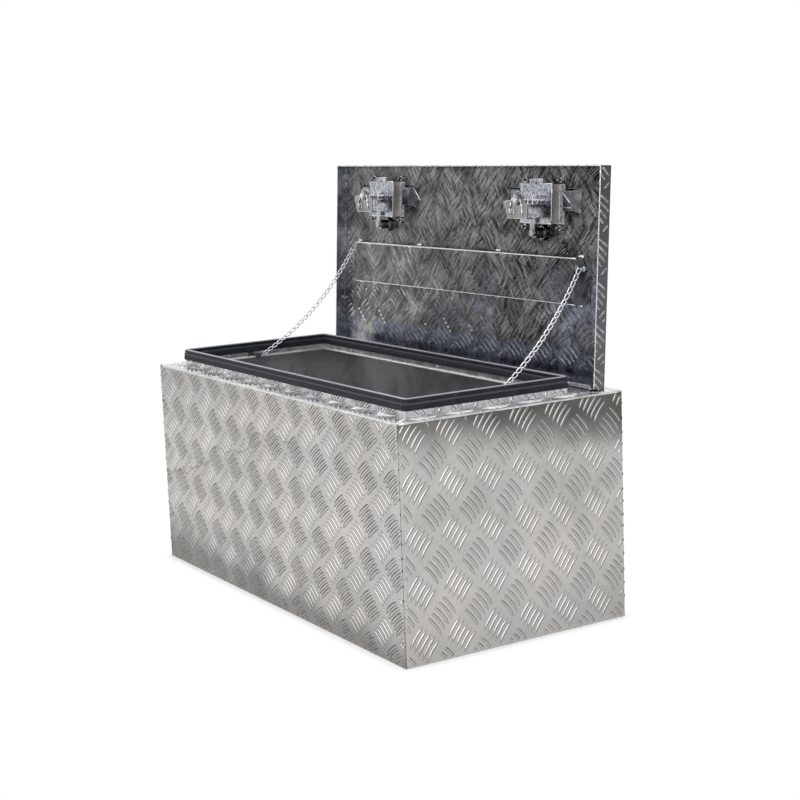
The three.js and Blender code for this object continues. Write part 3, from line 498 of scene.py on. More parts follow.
class Bars:
    """The bars of one piece of tread."""

    def __init__(self, height, half_width):
        self.height, self.half_width = height, half_width
        self.points, self.faces, self.dark_strips = [], [], []

    def cover(self, facet, lattice, bulge, skip):
        """Bars all over a facet. They end at its edges and where skip is true."""
        for centre, lean in lattice_cells(lattice, facet.outline):
            along, stack, side = bar_ways(lean, lattice.turn, bulge)
            for k in range(-2, 3):
                bar = (centre + k * stack, along, side)
                spots = [bar_spot(bar, t) for t in BAR_SAMPLES]
                kept = [n for n, spot in enumerate(spots)
                        if inside(spot, facet.outline) and not (skip and skip(spot))]
                # A bar is left out where little of it is on the facet, or it would fall in two
                if len(kept) >= BAR_SHORTEST and kept[-1] - kept[0] + 1 == len(kept):
                    ends = BAR_SAMPLES[kept[0]], BAR_SAMPLES[kept[-1]]
                    self.add(facet, bar, ends, DARK_STRIP_WIDER if lean < 0 < bulge else 1)

    def add(self, facet, bar, ends, wider):
        """One bar between its ends, lofted through its sections."""
        _, along, side = bar
        first, row = len(self.points), len(BAR_SECTION)
        for t in np.linspace(*ends, BAR_PARTS + 1):
            tangent = BAR_HALF * along - 2 * BAR_SAG * t * side
            tangent = tangent / np.linalg.norm(tangent)
            across = np.array([-tangent[1], tangent[0]])
            wide = max(BAR_TIP, self.half_width * (1 - t ** 8) ** 0.5)
            tall = self.height * wide / self.half_width
            for share, lift in BAR_SECTION:
                share *= wider if abs(share) > DARK_STRIP_EDGE else 1
                a, b = bar_spot(bar, t) + across * wide * share - np.array(facet.pivot)
                rise = lift * (tall if abs(lift) > DARK_STRIP_LIFT else self.height)
                self.points.append(facet.place + a * facet.a + b * facet.b + rise * facet.normal)
        turn = 1 if np.dot(np.cross(facet.a, facet.b), facet.normal) < 0 else -1
        for n in range(BAR_PARTS):
            for strip in BAR_STRIPS:
                near = first + row * n + strip
                if strip in BAR_DARK_STRIPS:
                    self.dark_strips.append(len(self.faces))
                self.faces.append((near, near + 1, near + 1 + row, near + row)[::turn])
        near_end = tuple(first + n for n in BAR_RIDGE)
        far_end = tuple(n + row * BAR_PARTS for n in near_end)
        self.faces += [near_end[::-turn], far_end[::turn]]


def tread(name, lattice, facets, material, body, slot, height, half_width, bulge=1, skip=None):
    bars = Bars(height, half_width)
    for facet in facets:
        bars.cover(facet, lattice, bulge, skip)
    made = piece(name, bars.points, bars.faces, material, body)
    made.data.materials.append(BAR_DIRT_AND_SHADE)
    for n in bars.dark_strips:
        made.data.polygons[n].material_index = 1


FRONT_LATTICE = Lattice(np.array([-414.3, 354.3]), (81.64, -1.79), (-2.78, -73.17), math.radians(-1.6))
END_LATTICE = Lattice(np.array([337.6, -164.6]), (1.3, 73.01), (-86.7, 2.5), math.radians(-1.3))
LID_LATTICE = Lattice(np.array([20.0, 40.0]), (81.64, 1.0), (-1.0, 73.17), math.radians(0.7))
# Margins without bars at folds and mitres, and how far bars run on the lip, strip and flanges
EDGE, MITRE, LEDGE_RIM = 3.4, 3.0, 0.5
LIP_FOOT, LIP_TOP, BACK_STRIP, BACK_INSET = 0.6, 12.5, 24.0, 26.0
LID_START, FLANGE_DEPTH = -4.5, 22.4
# Half lengths and reaches of what covers the lid's panel, and the height that the hinge takes
TRAY_X, TRAY_LOW, TRAY_HIGH = 119, -71, 57
LATCH_HALF_X, LATCH_HALF_S, LOCK_X, LOCK_LOW, LOCK_HIGH = 104, 30, 15, -68, -20
FEET_X, CHANNEL_MARGIN, HINGE_TOP = 402, 2, 24


def front_facets():
    wall = rect(-BOX_X + EDGE, BOX_X - EDGE, EDGE, BOX_Z - EDGE)
    rim = BOX_Z + LEDGE_FRONT
    ledge = [(-BOX_X + MITRE, BOX_Z + EDGE), (BOX_X - MITRE, BOX_Z + EDGE),
             (LIP_X, rim - LEDGE_RIM), (-LIP_X, rim - LEDGE_RIM)]
    lip = rect(-LIP_X, LIP_X, rim + LIP_FOOT, rim + LIP_TOP)
    return (Facet(wall, (0, 0), -BOX_Y * Y, X, Z, -Y),
            Facet(ledge, (0, BOX_Z), -BOX_Y * Y + BOX_Z * Z, X, Y, Z),
            Facet(lip, (0, rim), (LIP_FRONT - 1) * Y + BOX_Z * Z, X, Z, -Y))


def back_facets():
    wall = rect(-BOX_X + EDGE, BOX_X - EDGE, EDGE, BOX_Z - EDGE)
    ledge = [(-BOX_X + MITRE, BOX_Z + EDGE), (BOX_X - MITRE, BOX_Z + EDGE),
             (BOX_X - BACK_INSET, BOX_Z + BACK_STRIP), (-BOX_X + BACK_INSET, BOX_Z + BACK_STRIP)]
    return (Facet(wall, (0, 0), BOX_Y * Y, -X, Z, Y),
            Facet(ledge, (0, BOX_Z), BOX_Y * Y + BOX_Z * Z, -X, -Y, Z))


def end_facets(sign):
    wall = rect(EDGE, BOX_Z - EDGE, -BOX_Y + EDGE, BOX_Y - EDGE)
    rim = BOX_Z + LEDGE_END
    ledge = [(BOX_Z + EDGE, -BOX_Y + MITRE), (rim - LEDGE_RIM, LIP_FRONT),
             (rim - LEDGE_RIM, BOX_Y - LEDGE_END), (BOX_Z + EDGE, BOX_Y - MITRE)]
    lip = rect(rim + LIP_FOOT, rim + LIP_TOP, LIP_FRONT, LIP_BACK)
    return (Facet(wall, (0, 0), sign * BOX_X * X, Z, Y, sign * X),
            Facet(ledge, (BOX_Z, 0), sign * BOX_X * X + BOX_Z * Z, -sign * X, Y, Z),
            Facet(lip, (rim, 0), sign * (LIP_X + 1) * X + BOX_Z * Z, Z, Y, sign * X))


def flange_facets():
    span = (LID_START, LID_FRONT - EDGE)
    right = rect(LID_X + EDGE, LID_X + FLANGE_DEPTH, *span)
    left = rect(-LID_X - FLANGE_DEPTH, -LID_X - EDGE, *span)
    front = rect(-LID_X + EDGE, LID_X - EDGE, LID_FRONT + EDGE, LID_FRONT + FLANGE_DEPTH)
    return (Facet(right, (LID_X, 0), on_lid(LID_X, 0, LID_OUTER), -LID_OUT, LID_UP, X),
            Facet(left, (-LID_X, 0), on_lid(-LID_X, 0, LID_OUTER), LID_OUT, LID_UP, -X),
            Facet(front, (0, LID_FRONT), on_lid(0, LID_FRONT, LID_OUTER), X, -LID_OUT, LID_UP))


def lid_facet(x, low, high, q, normal):
    """A facet parallel to the lid's panel, from low to high away from the hinge."""
    return Facet(rect(-x, x, low, high), (0, 0), on_lid(0, 0, q), X, LID_UP, normal)


def near_tray(spot):
    return abs(abs(spot[0]) - LATCH_X) < TRAY_X and TRAY_LOW < spot[1] - LATCH_S < TRAY_HIGH


def under_fittings(spot):
    x, s = abs(abs(spot[0]) - LATCH_X), spot[1] - LATCH_S
    latch = x < LATCH_HALF_X and abs(s) < LATCH_HALF_S
    lock = x < LOCK_X and LOCK_LOW < s < LOCK_HIGH
    channel = CHANNEL_LOW - CHANNEL_MARGIN < spot[1] < CHANNEL_HIGH + CHANNEL_MARGIN
    return latch or lock or (channel and abs(spot[0]) < FEET_X) or spot[1] < HINGE_TOP


def all_tread():
    chest = (PLATE_BARS, "chest", "tread_plate")
    tread("tread_front", FRONT_LATTICE, front_facets(), *chest, 1.1, 2.0)
    tread("tread_back", FRONT_LATTICE, back_facets(), *chest, 1.1, 2.0)
    for word, sign in (("right", 1), ("left", -1)):
        tread("tread_end_" + word, END_LATTICE, end_facets(sign), *chest, 0.95, 1.7, bulge=-1)
    panel = lid_facet(LID_X - EDGE, LID_START, LID_FRONT - EDGE, LID_OUTER, LID_OUT)
    tread("tread_lid", LID_LATTICE, [panel], PLATE_BARS, "lid", "lid_plate", 1.1, 2.3, skip=near_tray)
    tread("tread_lid_flanges", LID_LATTICE, flange_facets(), FLANGE_BARS, "lid", "lid_plate", 0.8, 1.4)
    panel = lid_facet(LID_X - 3, 1, LID_FRONT - 3, LID_INNER, -LID_OUT)
    tread("lid_inner_marks", LID_LATTICE, [panel], LID_MARKS, "lid", "lid_plate", 0.4, 1.6,
          skip=under_fittings)
    face = lid_facet(CHANNEL_X - 2, CHANNEL_LOW + 2, CHANNEL_HIGH - 2, CHANNEL_FACE, -LID_OUT)
    tread("channel_marks", LID_LATTICE, [face], STIFFENER, "lid", "lid_plate", 0.3, 2.0)


all_tread()


# Rubber trim: a ribbed profile swept round the raised lip

BULB_HEIGHT, BULB_RADIUS, BULB_DIP = 430.3, 4.0, 12


def seal_profile():
    """The trim's outline as (outward from the lip, height), with its bulb on top."""
    side = [(1.25, 414.4), (4.6, 413.4), (6.1, 413.6), (5.9, 416.0), (5.5, 419.0),
            (5.3, 421.6), (4.3, 422.2), (4.3, 422.7), (5.3, 423.1), (5.6, 424.6),
            (5.2, 426.1), (4.0, 426.7), (3.2, 427.3), (3.3, 428.2)]
    turns = np.linspace(math.radians(-BULB_DIP), math.radians(180 + BULB_DIP), 13)
    bulb = [(BULB_RADIUS * math.cos(t), BULB_HEIGHT + BULB_RADIUS * math.sin(t)) for t in turns]
    mirrored = [(-out, height) for out, height in reversed(side)]
    return side + bulb + mirrored + [(-1.25, 427.4), (1.25, 427.4)]


def lip_path(radius, steps=8):
    """Points round the lip, each with its way outward."""
    path = []
    corners = ((LIP_X, LIP_BACK, 0), (-LIP_X, LIP_BACK, 90),
               (-LIP_X, LIP_FRONT, 180), (LIP_X, LIP_FRONT, 270))
    for cx, cy, start in corners:
        middle_x = cx - math.copysign(radius, cx)
        middle_y = cy - math.copysign(radius, cy)
        for n in range(steps + 1):
            angle = math.radians(start + 90 * n / steps)
            out = (math.cos(angle), math.sin(angle))
            path.append(((middle_x + radius * out[0], middle_y + radius * out[1]), out))
    return path


def divided(path, spacing=30.0):
    """The same path with long straights cut into shorter runs."""
    result = []
    for ((x0, y0), out0), ((x1, y1), out1) in closed(path):
        result.append(((x0, y0), out0))
        runs = int(math.hypot(x1 - x0, y1 - y0) // spacing)
        for n in range(1, runs):
            t = n / runs
            mid = (out0[0] * (1 - t) + out1[0] * t, out0[1] * (1 - t) + out1[1] * t)
            size = math.hypot(*mid)
            result.append(((x0 + (x1 - x0) * t, y0 + (y1 - y0) * t), (mid[0] / size, mid[1] / size)))
    return result


def sweep(path, profile, name, material):
    points = []
    for (px, py), (ox, oy) in path:
        points += [(px + ox * offset, py + oy * offset, height) for offset, height in profile]
    return piece(name, points, ring_faces(len(path), len(profile)), material, "chest")


def seal():
    made = sweep(divided(lip_path(6.2)), seal_profile(), "seal_trim", RUBBER)
    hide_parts("lip_seal")
    soften = made.modifiers.new("soften", "SUBSURF")
    soften.levels = soften.render_levels = 1


def opening_fold():
    """The rolled inner edge of the opening, seen as a bright line under the trim; its near-white colour
    is a painted highlight.
    """
    offset, height, radius = -2.8, BOX_Z - 0.9, 2.1
    turns = np.linspace(0, 2 * math.pi, 9)[:-1]
    outline = [(offset + radius * math.cos(t), height + radius * math.sin(t)) for t in turns]
    sweep(divided(lip_path(2.5, 3), 60.0), outline, "opening_fold", GLINT_METAL)


seal()
opening_fold()


# Chains: smooth twisted links where the solids have them

LINKS, LOWER_LINKS, CHAIN_SAG, LINK_WIDTH = 24, 11, 19.0, 9.0
WIRE, SOLID_WIRE_SIDES, LINK_OVERLAP, LINK_GAP = 1.25, 5, 0.35, 0.35
TAB = (LIP_X - 10.0, -18.0, BOX_Z + 2.0)
TAB_HOLE, TAB_CLEARANCE = 3.4, 0.55
EYE = (386.0, 200.0, LID_INNER - 10.0)
EYE_RADIUS, EYE_WIRE = 4.6, 1.1
LINK_RINGS, LINK_SIDES = 26, 8


def twisted_link(length):
    """Points of a stretched ring whose far end is a quarter turn from its near end."""
    points = []
    bend = LINK_WIDTH / 2 - WIRE
    for i in range(LINK_RINGS):
        u = 2 * math.pi * i / LINK_RINGS
        for j in range(LINK_SIDES):
            v = 2 * math.pi * j / LINK_SIDES
            radial = bend + WIRE * math.cos(v)
            x, y, z = radial * math.cos(u), radial * math.sin(u), WIRE * math.sin(v)
            if abs(x) > WIRE / 100:
                x += math.copysign(length / 2 - bend - WIRE, x)
            angle = math.pi / 2 * max(-0.5, min(0.5, x / length)) + math.pi / 4
            cos, sin = math.cos(angle), math.sin(angle)
            points.append((x, y * cos - z * sin, y * sin + z * cos))
    return points


def chain(word, side):
    """One stay chain, on an arc from its tab on the chest to its eye on the lid."""
    low = np.array([side * TAB[0], TAB[1], TAB[2]])
    high = on_lid(side * EYE[0], EYE[1], EYE[2] - EYE_RADIUS)
    span = float(np.linalg.norm(high - low))
    chord = (high - low) / span
    down = -Z + chord * chord[2]
    down = down / np.linalg.norm(down)
    radius = (span * span / 4 + CHAIN_SAG * CHAIN_SAG) / (2 * CHAIN_SAG)
    half_turn = math.asin(span / (2 * radius))
    start = TAB_HOLE - WIRE - TAB_CLEARANCE
    end = 2 * radius * half_turn + EYE_WIRE + WIRE + LINK_GAP
    nest = 2 * WIRE * math.cos(math.pi / SOLID_WIRE_SIDES) - LINK_OVERLAP
    loose = 2 * WIRE + LINK_GAP
    length = (end - start + (LINKS - 2) * nest + loose) / LINKS
    halves = {"lower": ([], []), "upper": ([], [])}
    near = start
    for n in range(LINKS):
        points, faces = halves["lower" if n < LOWER_LINKS else "upper"]
        faces += ring_faces(LINK_RINGS, LINK_SIDES, len(points))
        turn = (near + length / 2) / radius - half_turn
        along = chord * math.cos(turn) - down * math.sin(turn)
        across = X - along * float(np.dot(X, along))
        across = across / np.linalg.norm(across)
        third = np.cross(along, across)
        centre = low + chord * (span / 2 + radius * math.sin(turn))
        centre = centre + down * radius * (math.cos(turn) - math.cos(half_turn))
        points += [centre + x * along + y * across + z * third for x, y, z in twisted_link(length)]
        near += length - (loose if n == LOWER_LINKS - 1 else nest)
    for half, (points, faces) in halves.items():
        body = f"chain_{half}_half_{word}"
        made = piece(f"chain_links_{half}_{word}", points, faces, CHAIN, body)
        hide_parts(f"chain_{half}_{word}")


chain("left", -1)
chain("right", 1)


# Weld beads, painted glints and seam marks

def blobs(name, spots, material, body, seed=1):
    """Small uneven beads. A spot is (point, (size x, size y, size z))."""
    ball = bmesh.new()
    bmesh.ops.create_icosphere(ball, subdivisions=2, radius=1.0)
    shape = [np.array(v.co) for v in ball.verts]
    triangles = [tuple(v.index for v in f.verts) for f in ball.faces]
    ball.free()
    points, faces = [], []
    for n, (spot, size) in enumerate(spots):
        first = len(points)
        for v in shape:
            push = 1 + 0.32 * noise.noise(Vector(v * 1.3) + Vector((7.1 * n + seed, 3.3 * n, 1.7 * n)))
            points.append(np.array(spot) + v * np.array(size) * push)
        faces.extend(tuple(first + i for i in t) for t in triangles)
    piece(name, points, faces, material, body)


def lid_welds():
    """Groups of three beads above and below the channel, and single ones on the right flange."""
    upper = ((-375, -145, 126, 373), CHANNEL_HIGH + 2.2, (3.4, 2.6, 3.4))
    lower = ((-366, -123, 127, 374), CHANNEL_LOW - 2.0, (3.2, 2.4, 3.2))
    beads = []
    for places, s, size in (upper, lower):
        for x in places:
            beads += [(on_lid(x + shift, s, LID_INNER - 0.9), size) for shift in (-4, 0, 4)]
    beads += [(on_lid(LID_X - 1.0, s, 2.6), (1.2, 1.2, 3.0)) for s in (20, 96, 150, 214, 262, 318, 350)]
    blobs("lid_weld_beads", beads, WELD, "lid")


def ledge_welds():
    """Seven beads along each mitre of the ledge."""
    beads = []
    for sx in (-1, 1):
        for sy, depth in ((-1, LEDGE_FRONT), (1, LEDGE_END)):
            for n in range(7):
                t = (n + 0.4) / 7
                x = sx * (BOX_X - 1 - t * (LEDGE_END - 1))
                y = sy * (BOX_Y - 1 - t * (depth - 1))
                beads.append(((x, y, BOX_Z + 0.2), (2.9 + random.random(), 2.7 + random.random(), 1.0)))
    blobs("ledge_weld_beads", beads, WELD, "chest", 5)


def lip_welds():
    spots = ((-306, 408), (-286, 409), (-262, 408), (20, 408), (300, 408))
    beads = [((x, LIP_BACK - 1.6, z), (3.0, 1.6, 2.4)) for x, z in spots]
    blobs("lip_weld_beads", beads, WELD, "chest", 9)


def painted_glints():
    """Painted glints: bright beads at the ends of the dents low on the left of the lid, fewer and smaller
    to the right.
    """
    left, right, low, high, fade_start, fade_length = -398, 60, 50, 122, -400, 480
    tip = 0.9 * BAR_HALF * np.array([math.cos(BAR_ANGLE), math.sin(BAR_ANGLE)])
    glint_spots = []
    for i in np.arange(-6, 3) + 0.5:
        for j in np.arange(-1, 3) + 0.5:
            centre = LID_LATTICE.origin + i * np.array(LID_LATTICE.along) + j * np.array(LID_LATTICE.up)
            for k in range(-2, 3):
                x, s = centre + k * np.array([BAR_STEP, -BAR_STEP]) - tip
                fade = 1.0 - (x - fade_start) / fade_length
                on_band = left < x < right and low < s < high
                if on_band and random.random() < 0.35 + 0.65 * fade:
                    size = 1.5 + 1.7 * fade * random.uniform(0.5, 1.0)
                    glint_spots.append((on_lid(x, s, LID_INNER - 0.4), (1.5 * size, 1.0, size)))
    blobs("lid_dent_glints", glint_spots, GLINT_METAL, "lid", 3)


def seam_marks():
    """Small dark marks down the four corners of the chest."""
    marks = []
    for n in range(15):
        z = 384 - n * 25 + random.uniform(-6, 6)
        for sx in (-1, 1):
            for sy in (-1, 1):
                spot = (sx * (BOX_X - 0.25), sy * (BOX_Y - 0.25), z)
                marks.append((spot, (1.0, 1.0, random.uniform(1.0, 2.8))))
    blobs("corner_seam_marks", marks, MARK, "chest", 13)


random.seed(4)
lid_welds()
ledge_welds()
lip_welds()
painted_glints()
seam_marks()


# Painted highlights: near-white beads on folds and cut edges, standing for the sky that they catch

BEAD_SIDES, BEAD_STEP = 8, 14.0


def edge_bead(points, faces, start, end, radius, seed):
    """An uneven round edge from start to end."""
    way = end - start
    length = float(np.linalg.norm(way))
    way = way / length
    first_side = np.cross(way, Z if abs(way[2]) < 0.9 else X)
    first_side = first_side / np.linalg.norm(first_side)
    second_side = np.cross(way, first_side)
    rings = max(2, int(length / BEAD_STEP))
    first = len(points)
    for i in range(rings + 1):
        centre = start + way * length * i / rings
        size = radius * (1 + 0.16 * noise.noise(Vector((i * 0.83, seed, 0.3))))
        for j in range(BEAD_SIDES):
            angle = 2 * math.pi * j / BEAD_SIDES
            points.append(centre + size * (math.cos(angle) * first_side + math.sin(angle) * second_side))
    for i in range(rings):
        for j in range(BEAD_SIDES):
            a, b = first + i * BEAD_SIDES + j, first + i * BEAD_SIDES + (j + 1) % BEAD_SIDES
            faces.append((a, b, b + BEAD_SIDES, a + BEAD_SIDES))
    cap = tuple(first + j for j in range(BEAD_SIDES))
    faces += [cap[::-1], tuple(j + rings * BEAD_SIDES for j in cap)]


def edge_beads(name, runs, body):
    """Round edges in the near-white of painted highlight, each listed as (start, end, radius)."""
    points, faces = [], []
    for n, (start, end, radius) in enumerate(runs):
        edge_bead(points, faces, start, end, radius, 3.7 * n)
    piece(name, points, faces, EDGE_HIGHLIGHT, body)


def chest_folds():
    """Painted highlights on the four folds round the top of the chest, and a thin bright line down inside
    each corner.
    """
    fold, proud, seam, seam_in, low, high = 2.3, 0.4, 1.1, 2.4, 3.0, 400.0
    x, y, z = BOX_X - fold + proud, BOX_Y - fold + proud, BOX_Z - fold + proud
    runs = []
    for sign in (1, -1):
        runs.append((np.array([-x, sign * y, z]), np.array([x, sign * y, z]), fold))
        runs.append((np.array([sign * x, -y, z]), np.array([sign * x, y, z]), fold))
    for sx in (-1, 1):
        for sy in (-1, 1):
            cx, cy = sx * (BOX_X - seam_in), sy * (BOX_Y - seam_in)
            runs.append((np.array([cx, cy, low]), np.array([cx, cy, high]), seam))
    edge_beads("chest_fold_edges", runs, "chest")


def lid_run(x0, s0, x1, s1, q, radius):
    return on_lid(x0, s0, q), on_lid(x1, s1, q), radius


def lid_edges():
    """Painted highlights on the channel's two folds, and on the rims of the lid's right and front
    flanges.
    """
    rim_x, rim_s, rim_q = LID_X - 1.0, LID_FRONT - 1.0, 3.1
    high, low = CHANNEL_HIGH - 0.9, CHANNEL_LOW + 0.8
    runs = [lid_run(-CHANNEL_X, high, CHANNEL_X, high, CHANNEL_FACE + 0.9, 1.7),
            lid_run(-CHANNEL_X, low, CHANNEL_X, low, CHANNEL_FACE + 0.8, 1.1),
            lid_run(rim_x, -3.0, rim_x, rim_s, rim_q, 1.15),
            lid_run(-rim_x, rim_s, rim_x, rim_s, rim_q, 1.0)]
    edge_beads("lid_bright_edges", runs, "lid")


def tray_glints():
    """Painted glints on the trays' sloping walls, and painted highlights on the rims of the brackets that
    stand in the trays.
    """
    wall, rim = 13.0, 3.6
    runs = [lid_run(322.8, 334.6, 349.0, 312.4, wall, 1.0),
            lid_run(326.0, 304.0, 352.0, 304.0, wall, 0.6),
            (on_lid(-165.0, 335.0, 18.5), on_lid(-142.3, 307.6, 22.8), 1.1)]
    low, high, tab = LATCH_S - 35, LATCH_S + 35, LATCH_S + 43
    for cx in (-LATCH_X, LATCH_X):
        runs += [lid_run(cx + 19, high, cx + 46, high, rim, 1.3),
                 lid_run(cx - 46, low, cx + 46, low, rim, 1.1),
                 lid_run(cx - 19, tab, cx + 19, tab, rim, 0.8),
                 lid_run(cx + 46, low, cx + 46, high, rim, 0.8)]
    edge_beads("tray_painted_glints", runs, "lid")


def arch(cx, s, a, b, q, radius, parts=9):
    """Short runs along an arch on the lid, a to each side of cx and b high."""
    turns = [math.radians(180 * n / parts) for n in range(parts + 1)]
    spots = [on_lid(cx + a * math.cos(t), s + b * math.sin(t), q) for t in turns]
    return [(start, end, radius) for start, end in zip(spots, spots[1:])]


def cam_rims():
    """The rounded rim on each latch's cam, and the small one of its slot, bright with painted highlight.
    """
    foot = LATCH_S - 20
    for word, cx in (("left", -LATCH_X), ("right", LATCH_X)):
        runs = arch(cx - 4, foot, 19, 34, -37.2, 1.5) + arch(cx - 14, foot, 5, 10, -37.0, 0.8, 6)
        edge_beads("cam_rims_" + word, runs, "latch_turn_" + word)


chest_folds()
lid_edges()
tray_glints()
cam_rims()


# Finish of the solids that show as they are

LOOKS = {
    "hinge_": HINGE, "chain_tab": ZINC, "chain_eye": CHAIN, "latch_tray": TRAY, "latch_bracket": BRACKET,
    "latch_cam": CAM, "latch_handle": ZINC, "latch_": BRIGHT, "key_barrel": LOCK, "key_nut": LOCK,
    "key_plug": ZINC, "key_cam": ZINC, "lid_pan": LID, "lid_stiffener": STIFFENER,
}
ROUNDED = {
    "front_panel": 0.9, "back_panel": 0.9, "left_end_panel": 0.9, "right_end_panel": 0.9,
    "lid_pan": 0.8, "lid_stiffener": 0.7, "latch_bracket": 0.7, "latch_cam_nut": 0.5, "latch_cam": 0.6,
    "latch_tray": 0.35, "latch_handle": 0.3, "key_cam": 0.4, "latch_nut": 0.35, "key_nut": 0.5,
    "chain_tab": 0.3,
}


def by_name(table, name, otherwise):
    """The value of the table's first key that the name starts with."""
    return next((value for key, value in table.items() if name.startswith(key)), otherwise)


def round_edges(node, width):
    node.modifiers.new("weld", "WELD").merge_threshold = 0.01 * MM
    bevel = node.modifiers.new("edges", "BEVEL")
    bevel.width = width * MM
    bevel.segments = 2
    bevel.limit_method = "ANGLE"
    bevel.angle_limit = math.radians(38)
    node.modifiers.new("flats", "WEIGHTED_NORMAL").weight = 100


for name, node in frame["nodes"].items():
    look = by_name(LOOKS, name, PLATE)
    if node.data.materials:
        for n in range(len(node.data.materials)):
            node.data.materials[n] = look
    else:
        node.data.materials.append(look)
    width = by_name(ROUNDED, name, 0)
    if width and not node.hide_render:
        round_edges(node, width)


# The photograph's viewpoint: the camera's place in metres, and its angles in degrees.
# Its bearing is counted from x, and it looks down by its dip.
CAMERA_SPOT = (2.561687, -1.529045, 0.859574)
CAMERA_BEARING, CAMERA_DIP, CAMERA_ROLL = -31.86179, 9.59594, -2.17758
CAMERA_LENS, SENSOR_WIDTH = 71.9959, 36.0


# Stage: a pale floor that curves up into a backdrop behind the tool box

def stage_material():
    """White floor. The camera and mirrored rays see it pure white but for shade near the box."""
    m = Finish("studio_white")
    white = m.clouds((0.93, 0.93, 0.93), (0.95, 0.95, 0.95), 0.3, 0.7, 0.8, 2.0)
    m.done(white, 0.7, metallic=0.0, specular=0.0)
    x, y, z = m.axes()
    over_x = m.maths("MAXIMUM", m.maths("SUBTRACT", m.maths("ABSOLUTE", x), BOX_X), 0.0)
    over_y = m.maths("MAXIMUM", m.maths("SUBTRACT", m.maths("ABSOLUTE", y), BOX_Y), 0.0)
    far = m.maths("SQRT", m.total(m.product(over_x, over_x), m.product(over_y, over_y)))
    path = m.node("ShaderNodeLightPath")
    mirrored = m.maths("MAXIMUM", path.outputs["Is Glossy Ray"], path.outputs["Is Transmission Ray"])
    seen = m.maths("MAXIMUM", m.product(path.outputs["Is Camera Ray"], m.range(far, 0.0, 22.0)), mirrored)
    shade = m.product(mirrored, m.range(far, 0.0, 400.0, 0.24, 0.0))
    glow = m.node("ShaderNodeEmission")
    m.feed(glow.inputs["Color"], m.grey(m.maths("SUBTRACT", 1.0, shade)))
    both = m.node("ShaderNodeMixShader")
    for socket, value in zip(both.inputs, (seen, m.shader.outputs[0], glow.outputs[0])):
        m.feed(socket, value)
    m.feed(m.tree.nodes["Material Output"].inputs["Surface"], both.outputs[0])
    return m.material


def stage():
    """A floor square to the camera's bearing, 0.4 mm under the box."""
    bend, back, near, half, top, under = 1500.0, 3200.0, -7000.0, 9000.0, 5000.0, 0.4
    bearing = math.radians(CAMERA_BEARING)
    away = Vector((-math.cos(bearing), -math.sin(bearing)))
    side = Vector((away.y, -away.x))
    outline = [(near, 0.0), (back, 0.0)]
    for turn in np.linspace(0.1, math.pi / 2, 14):
        outline.append((back + bend * math.sin(turn), bend - bend * math.cos(turn)))
    outline.append((back + bend, top))
    points = []
    for along, height in outline:
        points += [(*(away * along + side * edge), height - under) for edge in (-half, half)]
    faces = [(2 * n, 2 * n + 1, 2 * n + 3, 2 * n + 2) for n in range(len(outline) - 1)]
    mesh_object("studio_sweep", points, faces, stage_material())


def flag():
    """A dark panel off to the left, for the dark side of the tread to reflect."""
    m = Finish("studio_flag")
    m.done(m.clouds((0.03, 0.03, 0.03), (0.05, 0.05, 0.05), 0.3, 0.7, 2.0), 0.8, metallic=0.0)
    x, front, back, low, high = -2900.0, -1200.0, 100.0, 10.0, 700.0
    points = [(x, front, low), (x, back, low), (x, back, high), (x, front, high)]
    mesh_object("studio_flag", points, [(0, 1, 2, 3)], m.material)


def level_way(degrees):
    """A level direction, counted from x."""
    return math.cos(math.radians(degrees)), math.sin(math.radians(degrees)), 0.0


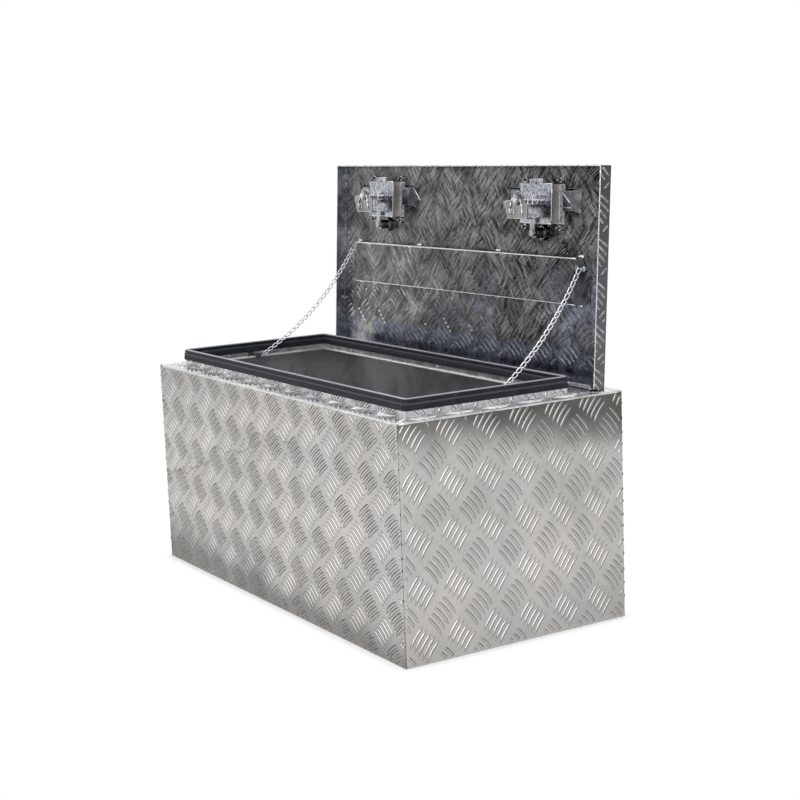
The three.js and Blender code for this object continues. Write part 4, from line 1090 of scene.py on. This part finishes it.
def world():
    """A grey room with a dark horizon for the metal to mirror."""
    made = bpy.data.worlds.new("studio")
    bpy.context.scene.world = made
    m = Nodes(made, "Generated")
    split = m.node("ShaderNodeSeparateXYZ")
    m.feed(split.inputs[0], m.coord)
    ramp = m.node("ShaderNodeValToRGB")
    m.feed(ramp.inputs[0], m.maths("MULTIPLY_ADD", split.outputs["Z"], 0.5, 0.5))
    stops = [(0.0, 0.8), (0.46, 0.7), (0.49, 0.10), (0.595, 0.12), (0.65, 0.85), (1.0, 1.05)]
    while len(ramp.color_ramp.elements) < len(stops):
        ramp.color_ramp.elements.new(0.5)
    for element, (place, level) in zip(ramp.color_ramp.elements, stops):
        element.position = place
        element.color = (level, level, level * 1.02, 1.0)
    flat = m.node("ShaderNodeVectorMath", operation="MULTIPLY")
    m.feed(flat.inputs[0], m.coord)
    m.feed(flat.inputs[1], (1.0, 1.0, 0.0))
    unit = m.node("ShaderNodeVectorMath", operation="NORMALIZE")
    m.feed(unit.inputs[0], flat.outputs[0])
    # An open sky towards the front left, which the lid and its latches face
    gap = m.range(m.dot(unit.outputs[0], level_way(-147)), 0.962, 0.984)
    colour = m.mix(gap, ramp.outputs[0], (0.86, 0.87, 0.89))
    # A paler horizon to the back right, so that one lean of the end's tread stays faint
    pale = m.range(m.dot(unit.outputs[0], level_way(70)), 0.6, 0.85)
    colour = m.mix(pale, colour, (0.40, 0.40, 0.40), "LIGHTEN")
    # The camera sees white wherever it looks past the backdrop
    seen = m.node("ShaderNodeLightPath").outputs["Is Camera Ray"]
    background = m.tree.nodes["Background"]
    m.feed(background.inputs["Color"], m.mix(seen, colour, (1.0, 1.0, 1.0)))
    m.feed(background.inputs["Strength"], 1.0)


def softbox(name, spot, target, width, height, power):
    """A lamp in metres and watts, turned towards its target."""
    lamp = bpy.data.lights.new(name, "AREA")
    lamp.shape = "RECTANGLE"
    lamp.size, lamp.size_y, lamp.energy = width, height, power
    made = bpy.data.objects.new(name, lamp)
    made.location = spot
    made.rotation_euler = (Vector(target) - Vector(spot)).to_track_quat("-Z", "Y").to_euler()
    bpy.context.scene.collection.objects.link(made)


def camera():
    data = bpy.data.cameras.new("photo_camera")
    data.sensor_width = SENSOR_WIDTH
    data.lens = CAMERA_LENS
    data.clip_start, data.clip_end = 0.05, 60.0
    made = bpy.data.objects.new("photo_camera", data)
    bearing = Matrix.Rotation(math.radians(90 + CAMERA_BEARING), 4, "Z")
    dip = Matrix.Rotation(math.radians(90 - CAMERA_DIP), 4, "X")
    roll = Matrix.Rotation(math.radians(CAMERA_ROLL), 4, "Z")
    made.matrix_world = Matrix.Translation(CAMERA_SPOT) @ bearing @ dip @ roll
    bpy.context.scene.collection.objects.link(made)
    bpy.context.scene.camera = made


stage()
flag()
world()
softbox("front_box", (-0.1, -2.75, 1.95), (0.0, -0.2, 0.25), 2.6, 1.5, 19.0)
softbox("right_box", (2.5, -1.25, 1.45), (0.457, 0.0, 0.2), 2.3, 1.6, 23.0)
softbox("top_box", (-0.6, 0.4, 3.2), (0.0, 0.0, 0.3), 2.2, 2.2, 16.0)
camera()
bpy.context.scene.view_settings.view_transform = "Standard"

bpy.context.view_layer.update()
